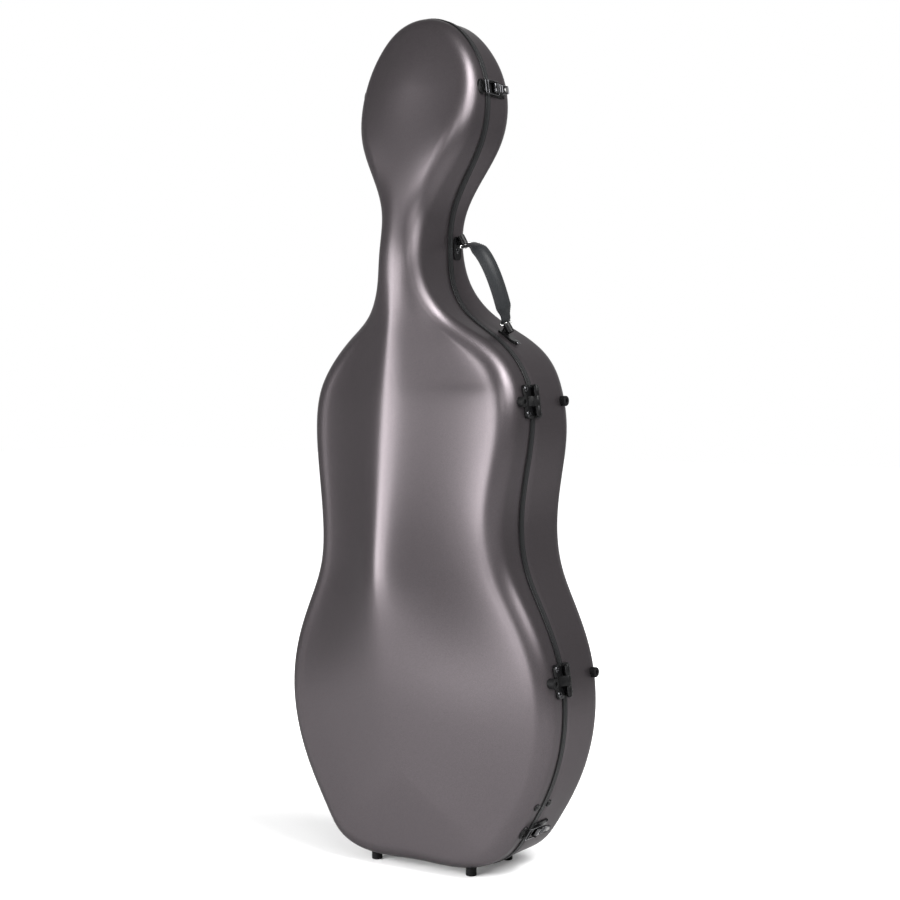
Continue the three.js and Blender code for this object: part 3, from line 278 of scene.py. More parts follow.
def new_piece(name, part, material, body, node=None, smooth_angle=35, matrix=case_to_row):
    """One object from a part's vertices and faces, with rounded shading, riding on a body."""
    verts, faces = part
    mesh = bpy.data.meshes.new(name)
    mesh.from_pydata([tuple(v) for v in verts], [], [tuple(f) for f in faces])
    work = bmesh.new()
    work.from_mesh(mesh)
    bmesh.ops.remove_doubles(work, verts=work.verts, dist=0.01)
    bmesh.ops.dissolve_degenerate(work, edges=work.edges, dist=0.001)
    bmesh.ops.recalc_face_normals(work, faces=work.faces)
    bmesh.ops.transform(work, matrix=matrix, verts=work.verts)
    work.to_mesh(mesh)
    work.free()
    finish_surface(mesh, material, smooth_angle)
    piece = in_scene(name, mesh)
    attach(piece, body)
    if node:
        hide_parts(node)
    return piece


def in_scene(name, data):
    """A new object in the scene from a mesh, a camera or a light."""
    made = bpy.data.objects.new(name, data)
    bpy.context.scene.collection.objects.link(made)
    return made


def finish_surface(mesh, material, sharp_angle):
    """One material, and rounded shading up to an angle in degrees."""
    mesh.materials.clear()
    mesh.materials.append(material)
    mesh.polygons.foreach_set("use_smooth", [True] * len(mesh.polygons))
    mesh.set_sharp_from_angle(angle=math.radians(sharp_angle))


def loft(rings, closed=False):
    """Vertices and quads through rings of equal length."""
    count = len(rings[0])
    verts = np.concatenate(rings)
    faces = []
    for ring in range(len(rings) if closed else len(rings) - 1):
        following = (ring + 1) % len(rings)
        for index in range(count):
            beside = (index + 1) % count
            faces.append((ring * count + index, ring * count + beside,
                          following * count + beside, following * count + index))
    return verts, faces


def merged(parts):
    """Joins several (vertices, faces) pairs into one."""
    verts, faces, start = [], [], 0
    for part_verts, part_faces in parts:
        verts.extend(tuple(v) for v in part_verts)
        faces.extend(tuple(i + start for i in face) for face in part_faces)
        start += len(part_verts)
    return verts, faces


def placed(part, matrix):
    """A part moved by a matrix."""
    verts, faces = part
    return [tuple(matrix @ Vector(v)) for v in verts], faces


def capped(rings):
    """A row of rings closed at both ends, each at its own middle."""
    first, last = (np.repeat(np.mean(ring, axis=0)[None], len(ring), 0) for ring in (rings[0], rings[-1]))
    return [first, *rings, last]


def tube(points, radius, sides=12, closed=False):
    """A round tube along points, closed at its ends or on itself."""
    path = [Vector(p) for p in points]
    count = len(path)
    rings = []
    normal = None
    for index, point in enumerate(path):
        before = path[index - 1] if index or closed else point
        after = path[(index + 1) % count] if index < count - 1 or closed else point
        along = (after - before).normalized()
        if normal is None:
            normal = along.orthogonal().normalized()
        normal = (normal - along * normal.dot(along)).normalized()
        side = along.cross(normal)
        rings.append([point + radius * (math.cos(a) * normal + math.sin(a) * side)
                      for a in (2 * math.pi * k / sides for k in range(sides))])
    if not closed:
        rings = [[path[0]] * sides] + rings + [[path[-1]] * sides]
    return loft([np.array([tuple(v) for v in ring]) for ring in rings], closed)


def lathe(profile, steps=40):
    """A solid turned about z from (radius, height) points."""
    rings = [np.array([(r * math.cos(a), r * math.sin(a), h)
                       for a in (2 * math.pi * k / steps for k in range(steps))]) for r, h in profile]
    return loft(rings)


def rounded_corner(centre, radius, start, end, steps=5):
    """Points on an arc, for profiles."""
    angles = [math.radians(start + (end - start) * step / steps) for step in range(steps + 1)]
    return [(centre[0] + radius * math.cos(a), centre[1] + radius * math.sin(a)) for a in angles]


def screw_head(radius, height):
    """A domed screw head with a cross recess, standing on z = 0."""
    steps, slot_width, slot_reach, slot_floor, dome, sunk = 48, 0.13, 0.54, 0.25, 0.75, 0.2
    around = [(math.cos(a), math.sin(a)) for a in (2 * math.pi * step / steps for step in range(steps))]
    rings = []
    for share in (0, 0.12, 0.2, 0.3, 0.42, 0.5, 0.56, 0.66, 0.78, 0.88, 0.95, 1):
        lift = height * math.sqrt(1 - dome * share * share)
        ring = []
        for x, y in around:
            in_slot = share * min(abs(x), abs(y)) < slot_width and share < slot_reach
            ring.append((radius * share * x, radius * share * y, lift * (slot_floor if in_slot else 1)))
        rings.append(np.array(ring))
    foot = np.array([(radius * x, radius * y, -sunk) for x, y in around])
    return loft(rings + [foot, foot * (0, 0, 1)])


def turned_over(side):
    """A half turn about x for the negative side, so that z points the other way."""
    return Matrix.Rotation(0 if side > 0 else math.pi, 4, "X")


# ---- Materials

def node_group(name, inputs, outputs):
    """A shader group with its outer nodes; a colour input or output is one whose value is a colour."""
    group = bpy.data.node_groups.new(name, "ShaderNodeTree")
    for way, sockets in (("INPUT", inputs), ("OUTPUT", outputs)):
        for label, value in sockets.items():
            kind = "NodeSocketColor" if isinstance(value, tuple) else "NodeSocketFloat"
            group.interface.new_socket(name=label, in_out=way, socket_type=kind).default_value = value
    return group, group.nodes.new("NodeGroupInput"), group.nodes.new("NodeGroupOutput")


def add(tree, kind, **settings):
    """A node with its inputs and its own settings set by name."""
    node = tree.nodes.new(kind)
    for key, value in settings.items():
        if key in node.inputs:
            node.inputs[key].default_value = value
        else:
            setattr(node, key, value)
    return node


def math_node(tree, operation, first, second=0):
    """The result of a sum on two numbers or outputs."""
    node = add(tree, "ShaderNodeMath", operation=operation)
    for index, value in enumerate((first, second)):
        if isinstance(value, (int, float)):
            node.inputs[index].default_value = value
        else:
            tree.links.new(value, node.inputs[index])
    return node.outputs[0]


def weighed(tree, first, share, second):
    """A share of one value and the rest of another."""
    return math_node(tree, "ADD", math_node(tree, "MULTIPLY", first, share),
                     math_node(tree, "MULTIPLY", second, 1 - share))


def texture(tree, place, kind, **settings):
    """A texture laid out in the piece's own frame."""
    node = add(tree, kind, **settings)
    tree.links.new(place.outputs["Object"], node.inputs["Vector"])
    return node


def make_grain():
    """Fine grain: a height and a mask, for moulded, cast and leather surfaces."""
    group, inside, outside = node_group("fine grain", {"Scale": 400, "Detail": 4}, {"Height": 0, "Mask": 0})
    place = add(group, "ShaderNodeTexCoord")
    noise = texture(group, place, "ShaderNodeTexNoise")
    cells = texture(group, place, "ShaderNodeTexVoronoi")
    link = group.links.new
    link(inside.outputs["Scale"], noise.inputs["Scale"])
    link(inside.outputs["Scale"], cells.inputs["Scale"])
    link(inside.outputs["Detail"], noise.inputs["Detail"])
    link(weighed(group, noise.outputs["Fac"], 0.6, cells.outputs["Distance"]), outside.inputs["Height"])
    link(noise.outputs["Fac"], outside.inputs["Mask"])
    return group


def make_handling():
    """Faint uneven polish from handling: a roughness to add and a colour share."""
    group, inside, outside = node_group("handling marks", {"Scale": 9, "Amount": 0.06},
                                        {"Roughness": 0, "Share": 0})
    place = add(group, "ShaderNodeTexCoord")
    broad = texture(group, place, "ShaderNodeTexNoise", Detail=3)
    fine = texture(group, place, "ShaderNodeTexNoise", Scale=160, Detail=2)
    link = group.links.new
    link(inside.outputs["Scale"], broad.inputs["Scale"])
    blend = weighed(group, broad.outputs["Fac"], 0.75, fine.outputs["Fac"])
    centred = math_node(group, "SUBTRACT", blend, 0.5)
    link(math_node(group, "MULTIPLY", centred, inside.outputs["Amount"]), outside.inputs["Roughness"])
    link(blend, outside.inputs["Share"])
    return group


def make_flake():
    """Metal flake in lacquer: a colour that sparkles between two tones, and a faint unevenness."""
    black, white = (0, 0, 0, 1), (1, 1, 1, 1)
    group, inside, outside = node_group("metal flake", {"Scale": 2600, "Dark": black, "Light": white},
                                        {"Color": black, "Height": 0})
    place = add(group, "ShaderNodeTexCoord")
    cells = texture(group, place, "ShaderNodeTexVoronoi")
    peel = texture(group, place, "ShaderNodeTexNoise", Scale=220, Detail=2)
    spread = add(group, "ShaderNodeSeparateColor")
    mix = add(group, "ShaderNodeMix", data_type="RGBA")
    link = group.links.new
    link(inside.outputs["Scale"], cells.inputs["Scale"])
    link(cells.outputs["Color"], spread.inputs["Color"])
    link(spread.outputs["Red"], mix.inputs["Factor"])
    link(inside.outputs["Dark"], mix.inputs["A"])
    link(inside.outputs["Light"], mix.inputs["B"])
    link(mix.outputs["Result"], outside.inputs["Color"])
    link(peel.outputs["Fac"], outside.inputs["Height"])
    return group


def make_weave():
    """Woven threads on two axes: a height and a thread tone."""
    group, inside, outside = node_group("woven threads", {"Across": 700, "Along": 700},
                                        {"Height": 0, "Tone": 0})
    place = add(group, "ShaderNodeTexCoord")
    split = add(group, "ShaderNodeSeparateXYZ")
    noise = texture(group, place, "ShaderNodeTexNoise", Scale=900, Detail=2)
    link = group.links.new
    link(place.outputs["Object"], split.inputs["Vector"])
    flat = math_node(group, "ADD", split.outputs["X"], split.outputs["Y"])
    warp, weft = (math_node(group, "SINE", math_node(group, "MULTIPLY", way, inside.outputs[label]))
                  for way, label in ((flat, "Across"), (split.outputs["Z"], "Along")))
    cross = math_node(group, "MULTIPLY", warp, weft)
    height = math_node(group, "ADD", math_node(group, "MULTIPLY", cross, 0.5), 0.5)
    link(height, outside.inputs["Height"])
    link(math_node(group, "MULTIPLY", height, noise.outputs["Fac"]), outside.inputs["Tone"])
    return group


GRAIN, HANDLING, FLAKE, WEAVE = make_grain(), make_handling(), make_flake(), make_weave()


def new_material(name, **values):
    """A material with its Principled shader's own values set."""
    material = bpy.data.materials.new(name)
    material.use_nodes = True
    shader = material.node_tree.nodes["Principled BSDF"]
    for key, value in values.items():
        shader.inputs[key.replace("_", " ")].default_value = value
    return material, material.node_tree, shader


def use_group(tree, group, **values):
    """A group's node in a material, with its inputs set."""
    return add(tree, "ShaderNodeGroup", node_tree=group, **values)


def bump_from(tree, shader, height, strength, distance):
    """Relief on the shader from a height."""
    bump = add(tree, "ShaderNodeBump", Strength=strength, Distance=distance)
    tree.links.new(height, bump.inputs["Height"])
    tree.links.new(bump.outputs["Normal"], shader.inputs["Normal"])


def uneven_roughness(tree, shader, base, scale, amount):
    """A base roughness with handling marks added."""
    marks = use_group(tree, HANDLING, Scale=scale, Amount=amount)
    tree.links.new(math_node(tree, "ADD", marks.outputs["Roughness"], base), shader.inputs["Roughness"])


def two_tone(tree, factor, dark, light, target):
    """A colour between two tones of red, green and blue, led to an input."""
    mix = add(tree, "ShaderNodeMix", data_type="RGBA")
    for label, tone in (("A", dark), ("B", light)):
        mix.inputs[label].default_value = (*tone, 1)
    tree.links.new(factor, mix.inputs["Factor"])
    tree.links.new(mix.outputs["Result"], target)


def make_lacquer():
    """Satin lacquer with fine metal flake."""
    material, tree, shader = new_material(
        "satin metallic lacquer", Metallic=0.85, Specular_IOR_Level=0.3, Specular_Tint=(0.5, 0.5, 0.5, 1))
    flake = use_group(tree, FLAKE, Scale=2600,
                      Dark=(0.050, 0.0445, 0.0475, 1), Light=(0.076, 0.067, 0.0715, 1))
    tree.links.new(flake.outputs["Color"], shader.inputs["Base Color"])
    uneven_roughness(tree, shader, 0.35, 5, 0.05)
    bump_from(tree, shader, flake.outputs["Height"], 0.06, 0.0003)
    return material


def grained(tree, shader, grain_scale, detail, tone, spread, polish, relief):
    """A grained tone, an uneven polish and fine relief on a shader."""
    grain = use_group(tree, GRAIN, Scale=grain_scale, Detail=detail)
    dark, light = ([part * share for part in tone] for share in spread)
    two_tone(tree, grain.outputs["Mask"], dark, light, shader.inputs["Base Color"])
    uneven_roughness(tree, shader, *polish)
    bump_from(tree, shader, grain.outputs["Height"], *relief)


def make_plain_black(name, tone, roughness, shine, grain_scale, depth, sheen=0.0):
    """Black plastic, rubber, leather, thread or plated steel, told apart by shine and grain."""
    material, tree, shader = new_material(name, Specular_IOR_Level=shine, Sheen_Weight=sheen)
    grained(tree, shader, grain_scale, 3, tone, (0.8, 1.25), (roughness, 14, 0.12), (0.25, depth))
    return material


def make_nickel(name, tone, roughness):
    """Plated steel that shows the lights as thin bright lines."""
    material, tree, shader = new_material(name, Metallic=1.0)
    grained(tree, shader, 700, 5, tone, (0.88, 1.12), (roughness, 60, 0.1), (0.05, 0.0001))
    return material


def make_velour():
    """Dark velour with a short pile that is brushed unevenly."""
    material, tree, shader = new_material(
        "charcoal velour", Roughness=0.95, Sheen_Weight=0.18, Sheen_Roughness=0.4, Specular_IOR_Level=0.15)
    pile = use_group(tree, GRAIN, Scale=1500, Detail=6)
    marks = use_group(tree, HANDLING, Scale=16, Amount=0.3)
    factor = weighed(tree, pile.outputs["Mask"], 0.5, marks.outputs["Share"])
    two_tone(tree, factor, (0.012, 0.012, 0.014), (0.05, 0.05, 0.056), shader.inputs["Base Color"])
    bump_from(tree, shader, pile.outputs["Height"], 0.6, 0.0006)
    return material


def make_webbing():
    """Woven black webbing."""
    material, tree, shader = new_material("black webbing", Roughness=0.85, Sheen_Weight=0.08)
    weave = use_group(tree, WEAVE, Across=3200, Along=3200)
    two_tone(tree, weave.outputs["Tone"], (0.005, 0.005, 0.0056), (0.028, 0.028, 0.031),
             shader.inputs["Base Color"])
    bump_from(tree, shader, weave.outputs["Height"], 0.7, 0.0004)
    return material


LACQUER = make_lacquer()
PROFILE_BLACK = make_plain_black("black seam profile", (0.0045, 0.0047, 0.005), 0.42, 0.1, 500, 0.0002)
PROFILE_GREY = make_plain_black("lighter centre of the profile", (0.0085, 0.009, 0.0095), 0.5, 0.14, 500,
                                0.0002)
METAL_BLACK = make_plain_black("black plated steel", (0.0035, 0.0035, 0.0037), 0.34, 0.1, 900, 0.00012)
RUBBER = make_plain_black("black rubber", (0.0035, 0.0035, 0.0037), 0.6, 0.08, 1100, 0.0003)
LEATHER = make_plain_black("black padded leather", (0.007, 0.0078, 0.0088), 0.5, 0.16, 520, 0.0006, 0.02)
THREAD = make_plain_black("dark grey thread", (0.018, 0.0186, 0.02), 0.8, 0.1, 2400, 0.0002, 0.15)
BLACK_NICKEL = make_nickel("black nickel plate", (0.055, 0.055, 0.058), 0.24)
# Brighter nickel: the own colour of the swivels and pin caps, and a painted highlight on the latch levers'
# tips
BRIGHT = make_nickel("bright nickel and painted highlight", (0.22, 0.22, 0.217), 0.28)
VELOUR = make_velour()
WEBBING = make_webbing()
# Near-black for flat discs that stand in for holes: painted shade
PAINTED_HOLE_SHADE = make_plain_black("painted shade of a hole", (0.003, 0.003, 0.003), 0.8, 0.05, 900, 0.0001)


# ---- Shells, seam profiles and linings

def make_shell(form, body):
    """One moulded half: its face and wall, a softened rim, and the inside a shell's thickness in."""
    rim, edge = 2.05, 0.4
    rings = face_rings(form, 0, 34, 12) + wall_rings(form, 0, rim + 0.5)
    rings += [offset_ring(form, edge, rim), offset_ring(form, SHELL - edge, rim)]
    rings += [offset_ring(form, SHELL, rim + 0.5)]
    rings += face_rings(form, SHELL, 16, 7)[::-1]
    new_piece(f"{body}_moulded_shell", loft(rings), LACQUER, body, f"{body}_shell", 50)


def profile_ring(form, section):
    """A closed seam profile from (inset, depth) points, swept round the outline."""
    return loft([offset_ring(form, inset, depth) for inset, depth in section], closed=True)


def make_profiles():
    """The black profiles on both rims, and a lighter grey insert in the base's one."""
    proud, start, tongue = 1.8, 0.15, 1.75
    lid_section = [(SHELL + GAP, start), (0.2 - proud, start), (-proud, 0.5), (-proud, 3.2),
                   (-proud + 0.9, 4.4), (-GAP, 4.5), (-GAP, tongue), (SHELL + GAP, tongue)]
    base_section = [(SHELL + GAP, start), (0.5 - proud, start), (-proud, 0.6), (-proud, 1.9),
                    (-proud + 0.45, 2.3), (-proud + 0.45, 5.9), (-proud, 6.3), (-proud, 7.2),
                    (-proud + 0.6, 7.9), (-GAP, 8), (-GAP, tongue), (SHELL + GAP, tongue)]
    for form, body, section in ((LID_FORM, "lid", lid_section), (BASE_FORM, "base", base_section)):
        new_piece(f"{body}_seam_profile", profile_ring(form, section), PROFILE_BLACK, body,
                  f"{body}_edge_trim", 40)
    insert = [(-proud + 0.5, 2.5), (-proud + 0.15, 2.9), (-proud + 0.15, 5.3), (-proud + 0.5, 5.7)]
    new_piece("base_profile_insert", profile_ring(BASE_FORM, insert), PROFILE_GREY, "base",
              None, 60)


def make_lining(form, body):
    """The padded velour lining inside a shell, with piping a little way in from its rim."""
    start, rim = SHELL + GAP, 2.1
    end = start + LINING
    rings = face_rings(form, start, 12, 6) + wall_rings(form, start, rim + 1, 2)
    rings += [offset_ring(form, start + 0.6, rim + 0.1), offset_ring(form, (start + end) / 2, rim),
              offset_ring(form, end - 0.8, rim + 0.3), offset_ring(form, end, rim + 2)]
    rings += wall_rings(form, end, rim + 2, 3)[::-1]
    rings += face_rings(form, end, 22, 8)[::-1]
    lining = new_piece(f"{body}_velour_lining", loft(rings), VELOUR, body,
                       f"{body}_lining", 60)
    piping = tube(offset_ring(form, end - 0.4, rim + 9), 1.5, 10, closed=True)
    new_piece(f"{body}_lining_piping", piping, THREAD, body)


make_shell(LID_FORM, "lid")
make_shell(BASE_FORM, "base")
make_profiles()
make_lining(LID_FORM, "lid")
make_lining(BASE_FORM, "base")


# ---- Latches and hinges

def finish_node(name, material, edge):
    """Keeps a node's solid, with softened edges and its own finish."""
    piece = frame["nodes"][name]
    finish_surface(piece.data, material, 32)
    bevel = piece.modifiers.new("softened edges", "BEVEL")
    bevel.width = edge * MM
    bevel.segments = 2
    bevel.limit_method = "ANGLE"
    bevel.angle_limit = math.radians(34)


def joint_frame(name, flip=False):
    """A frame in millimetres on a joint: z along its axis, y to the back, x out of the case."""
    joint = joints[name]
    along = Vector(joint["axis"]).normalized() * (-1 if flip else 1)
    back = Vector((0, 1, 0))
    out = back.cross(along).normalized()
    turn = Matrix((out, back, along)).transposed().to_4x4()
    return Matrix.Translation(Vector(joint["pos_m"])) @ turn @ Matrix.Scale(MM, 4)


LATCHES = ["hinge_side_head_latch", "hinge_side_corner_latch", "head_latch",
           "upper_bout_latch", "lower_bout_latch", "corner_latch"]
PIVOT_HEIGHT, PIVOT_DEPTH = 6.6, 15
PLATE_FOOT, PLATE_TOP = -2.2, 2.0
FACE_OUT = Matrix.Rotation(math.radians(90), 4, "Y")


def seam_place(latch):
    """The latch's own frame, on the seam outline."""
    return joint_frame(f"{latch}_lever_turn", True) @ Matrix.Translation((-PIVOT_HEIGHT, -PIVOT_DEPTH, 0))


def on_face(height, depth, along):
    """A place on an outward face, with z pointing out of the case."""
    return Matrix.Translation((height, depth, along)) @ FACE_OUT


def bent_path(corners, bend, steps=6):
    """Points along corners with rounded bends."""
    path = [Vector(corners[0])]
    for before, here, after in zip(corners, corners[1:], corners[2:]):
        before, here, after = Vector(before), Vector(here), Vector(after)
        first = here + (before - here).normalized() * bend
        last = here + (after - here).normalized() * bend
        for step in range(steps + 1):
            t = step / steps
            path.append(first * (1 - t) ** 2 + here * 2 * t * (1 - t) + last * t ** 2)
    return path + [Vector(corners[-1])]


def make_bail(latch, place):
    """The wire loop that hooks over the keeper, with the bar that keeps it square."""
    aside, inside, reach, bar_reach = 10.3, 4.0, 37.0, 29.5
    back = PIVOT_DEPTH + 10
    front = back - reach
    corners = [(PIVOT_HEIGHT, y, z) for y, z in (
        (back, inside), (back, aside), (front, aside), (front, -aside), (back, -aside), (back, -inside))]
    bar = [(PIVOT_HEIGHT, back - bar_reach, side * aside) for side in (-1, 1)]
    wires = merged([tube(bent_path(corners, 3.0), 1.1, 14), tube(bar, 1.25, 14)])
    new_piece(f"{latch}_wire_bail", wires, BLACK_NICKEL, f"{latch}_bail",
              f"{latch}_bail", 60, place)


def make_lever(latch, place):
    """The pressed lever: a hub, a hollowed arm with two grip bars and a tip that bends outwards."""
    top = [(11.2, 7.6), (12.2, 9.4), (15, 10.3), (18, 9.9), (22, 9.1), (30, 9.0), (38, 9.1), (42, 9.6),
           (44, 10.1), (46, 10.8), (47.6, 11.6)]
    under = [(47.9, 10.6), (46.4, 9.3), (44, 8.2), (41, 7.2), (36, 6.4), (28, 4.5), (20, 4.0), (16, 3.1),
             (13, 3.7), (11.4, 5.4)]
    outline = top + under
    centre = np.mean(outline, axis=0)
    tip_start, tip_length, tip_narrowing = 42, 8, 0.3
    rings = []
    for z, shrink in ((-7.0, 0.7), (-6.5, 0.15), (-5.8, 0), (0, 0), (5.8, 0), (6.5, 0.15), (7.0, 0.7)):
        ring = []
        for y, h in outline:
            narrow = 1 - tip_narrowing * max(0, (y - tip_start) / tip_length) ** 2
            ring.append((h - shrink * 0.6 * np.sign(h - centre[1]), y - shrink * (y - centre[0]) / 20,
                         z * narrow))
        rings.append(np.array(ring))
    bars = [tube([(8.7, y, -5.6), (8.9, y, -4.9), (8.9, y, 4.9), (8.7, y, 5.6)], 1.5, 16)
            for y in (25.5, 32.0)]
    new_piece(f"{latch}_pressed_lever", merged([loft(capped(rings))] + bars), BLACK_NICKEL,
              f"{latch}_lever", f"{latch}_lever", 42, place)


def make_painted_tip_highlight(latch, place):
    """A painted highlight on the lever's bent tip: a thin layer of brighter nickel that follows the bend of
    its tip.
    """
    lever_top = smooth_curve([38, 42, 44, 46, 47.6], [9.1, 9.6, 10.1, 10.8, 11.6])
    layers = ((0, -0.2), (1, -0.2), (1, 0.25), (0.9, 0.5), (0.5, 0.6), (0, 0.6))
    pad = layered(rounded_rectangle(39.4, 46.6, 3.9, 3.0), layers,
                  lambda y, z, lift: (float(lever_top(y)) + lift, y, z))
    # The brighter layer stands for the reflection on the tip: a painted highlight
    new_piece(f"{latch}_lever_painted_highlight", pad, BRIGHT, f"{latch}_lever", None, 50, place)


def layered(outline, layers, point):
    """A solid through an outline's layers, each of a size and a level, with a rule for its points."""
    outline = np.asarray(outline, float)
    middle = outline.mean(0)
    return loft([np.array([point(*(middle + (corner - middle) * size), level) for corner in outline])
                 for size, level in layers])


def thick_plate(outline, foot, top, edge=0.7, hollow=0.0):
    """A plate over (depth, along) points, with a rounded edge and, if hollow, a shallow dish on top."""
    outline = np.asarray(outline, float)
    reach = np.linalg.norm(outline - outline.mean(0), axis=1).min()
    levels = [(reach, foot), (0, foot), (0, top - edge), (edge * 0.3, top - edge * 0.3), (edge, top)]
    if hollow:
        levels += [(edge + 1.2, top), (edge + 2.0, top - hollow)]
    levels.append((reach, top - hollow))
    return layered(outline, [(1 - inset / reach, level) for inset, level in levels],
                   lambda y, z, level: (level, y, z))


def rounded_rectangle(y_low, y_high, half, corner):
    """Outline points of a plate with rounded corners, as (depth, along)."""
    points = []
    for centre, start in (((y_high - corner, half - corner), 0), ((y_low + corner, half - corner), 90),
                          ((y_low + corner, corner - half), 180), ((y_high - corner, corner - half), 270)):
        points += rounded_corner(centre, corner, start, start + 90, 8)
    return points


def oval(centre, half_depth, half_width, steps=48):
    """Outline points of an oval plate, as (depth, along)."""
    return [(centre + half_depth * math.cos(a), half_width * math.sin(a))
            for a in (2 * math.pi * k / steps for k in range(steps))]


def make_keeper(latch, place):
    """The oval keeper plate: a raised rim, two crossed bands, two screws and the tab for the wire."""
    tab_near, tab_far = 7.1, 9.8
    centre, half_depth, half_width, rim_inset = -15.8, 8.3, 11.8, 1.4
    rim = [(2.0, y, z) for y, z in oval(centre, half_depth - rim_inset, half_width - rim_inset)]
    parts = [thick_plate(oval(centre, half_depth, half_width), PLATE_FOOT, 1.9, 0.7, 0.9),
             tube(rim, 1.3, 12, closed=True)]
    for way in (1, -1):
        band = [(1.0, centre - 5.6, -6 * way), (2.3, centre, -0.6 * way), (1.0, centre + 5.6, 6 * way)]
        parts.append(tube(bent_path(band, 2.0), 1.0, 10))
    parts += [placed(screw_head(2.1, 1.2), on_face(1.0, centre, side * 7.6)) for side in (-1, 1)]
    tab = [(1.0, -tab_near), (7.4, -tab_near), (9.0, -tab_near - 0.5), (9.2, -tab_far + 0.5),
           (8.6, -tab_far), (1.0, -tab_far)]
    rings = [[(x, y, z) for x, y in tab] for z in (-6.0, -5.4, 5.4, 6.0)]
    middle = np.mean(tab, axis=0)
    for end in (0, 3):
        rings[end] = [(x * 0.96 + middle[0] * 0.04, y * 0.85 + middle[1] * 0.15, z)
                      for x, y, z in rings[end]]
    parts.append(loft(capped([np.array(ring) for ring in rings])))
    new_piece(f"{latch}_keeper_oval", merged(parts), METAL_BLACK, "lid", f"{latch}_keeper",
              38, place)


def make_latch_plate(latch, place):
    """The base plate with its two rounded cheeks and the pin that the lever turns on."""
    half_width, near, far, corner = 12, 8.4, 50.4, 6
    cheek_radius, cheek_inside, cheek_outside, foot_half, pin_half = 4.5, 7.3, 8.8, 7, 8.4
    profile = [(PLATE_FOOT, PIVOT_DEPTH - foot_half), (PLATE_TOP, PIVOT_DEPTH - foot_half)]
    profile += rounded_corner((PIVOT_HEIGHT, PIVOT_DEPTH), cheek_radius, -90, 90, 20)
    profile += [(PLATE_TOP, PIVOT_DEPTH + foot_half), (PLATE_FOOT, PIVOT_DEPTH + foot_half)]
    pin = [(PIVOT_HEIGHT, PIVOT_DEPTH, side * pin_half) for side in (-1, 1)]
    parts = [thick_plate(rounded_rectangle(near, far, half_width, corner), PLATE_FOOT, PLATE_TOP, 0.7),
             tube(pin, 1.5, 20)]
    cheek = layered(profile, ((0, cheek_inside), (0.96, cheek_inside), (1, cheek_inside + 0.25),
                              (1, cheek_outside - 0.25), (0.96, cheek_outside), (0, cheek_outside)),
                    lambda x, y, z: (x, y, z))
    parts += [placed(cheek, Matrix.Diagonal((1, 1, side, 1))) for side in (-1, 1)]
    new_piece(f"{latch}_cheek_plate", merged(parts), METAL_BLACK, "base",
              f"{latch}_plate", 38, place)


def make_latch(latch):
    """One draw latch: plate, bail, lever and keeper, then its rivets and screws."""
    place = seam_place(latch)
    make_latch_plate(latch, place)
    make_bail(latch, place)
    make_lever(latch, place)
    make_painted_tip_highlight(latch, place)
    make_keeper(latch, place)
    rivet = lathe([(0, -0.3), (2.1, -0.3), (2.1, 0.5), (1.7, 0.9), (0, 0.9)], 24)
    parts = [placed(rivet, Matrix.Translation((PIVOT_HEIGHT, PIVOT_DEPTH, side * 8.8)) @ turned_over(side))
             for side in (-1, 1)]
    parts += [placed(screw_head(2.4, 1.1), on_face(PLATE_TOP, 45.5, side * 9.4)) for side in (-1, 1)]
    new_piece(f"{latch}_rivets", merged(parts), METAL_BLACK, "base", None, 30, place)


for latch in LATCHES:
    make_latch(latch)


def hinge_frame(level):
    """The lid hinge's frame, moved along the axis to one hinge."""
    place = joint_frame("lid_hinge")
    low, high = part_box(f"{level}_hinge_pin")
    along = Vector(joints["lid_hinge"]["axis"]).normalized()
    shift = ((low + high) / 2 - Vector(joints["lid_hinge"]["pos_m"])).dot(along) / MM
    return place @ Matrix.Translation((0, 0, shift))


def hinge_arm(side, low, high):
    """One knuckle with the curved web that joins it to its leaf, between two places on the axis."""
    radius, edge = 4.7, 0.45
    web = [(-7.6, 12.5), (-7.1, 11.6), (-6.0, 9.9), (-4.4, 7.9), (-2.4, 6.2), (-0.4, 5.2), (1.6, 4.5)]
    web += [(radius * math.cos(a), radius * math.sin(a))
            for a in (math.radians(degrees) for degrees in (60, 40, 20, 0, -20, -40, -60, -90))]
    web += [(-radius * 0.8, -radius * 0.6), (-6.0, 0.4), (-7.6, 1.2)]
    rings = []
    for z, inset in ((low, edge), (low + edge, 0), (high - edge, 0), (high, edge)):
        rings.append(np.array([(x * (1 - inset / 8), side * y * (1 - inset / 8), z) for x, y in web]))
    return loft(capped(rings))


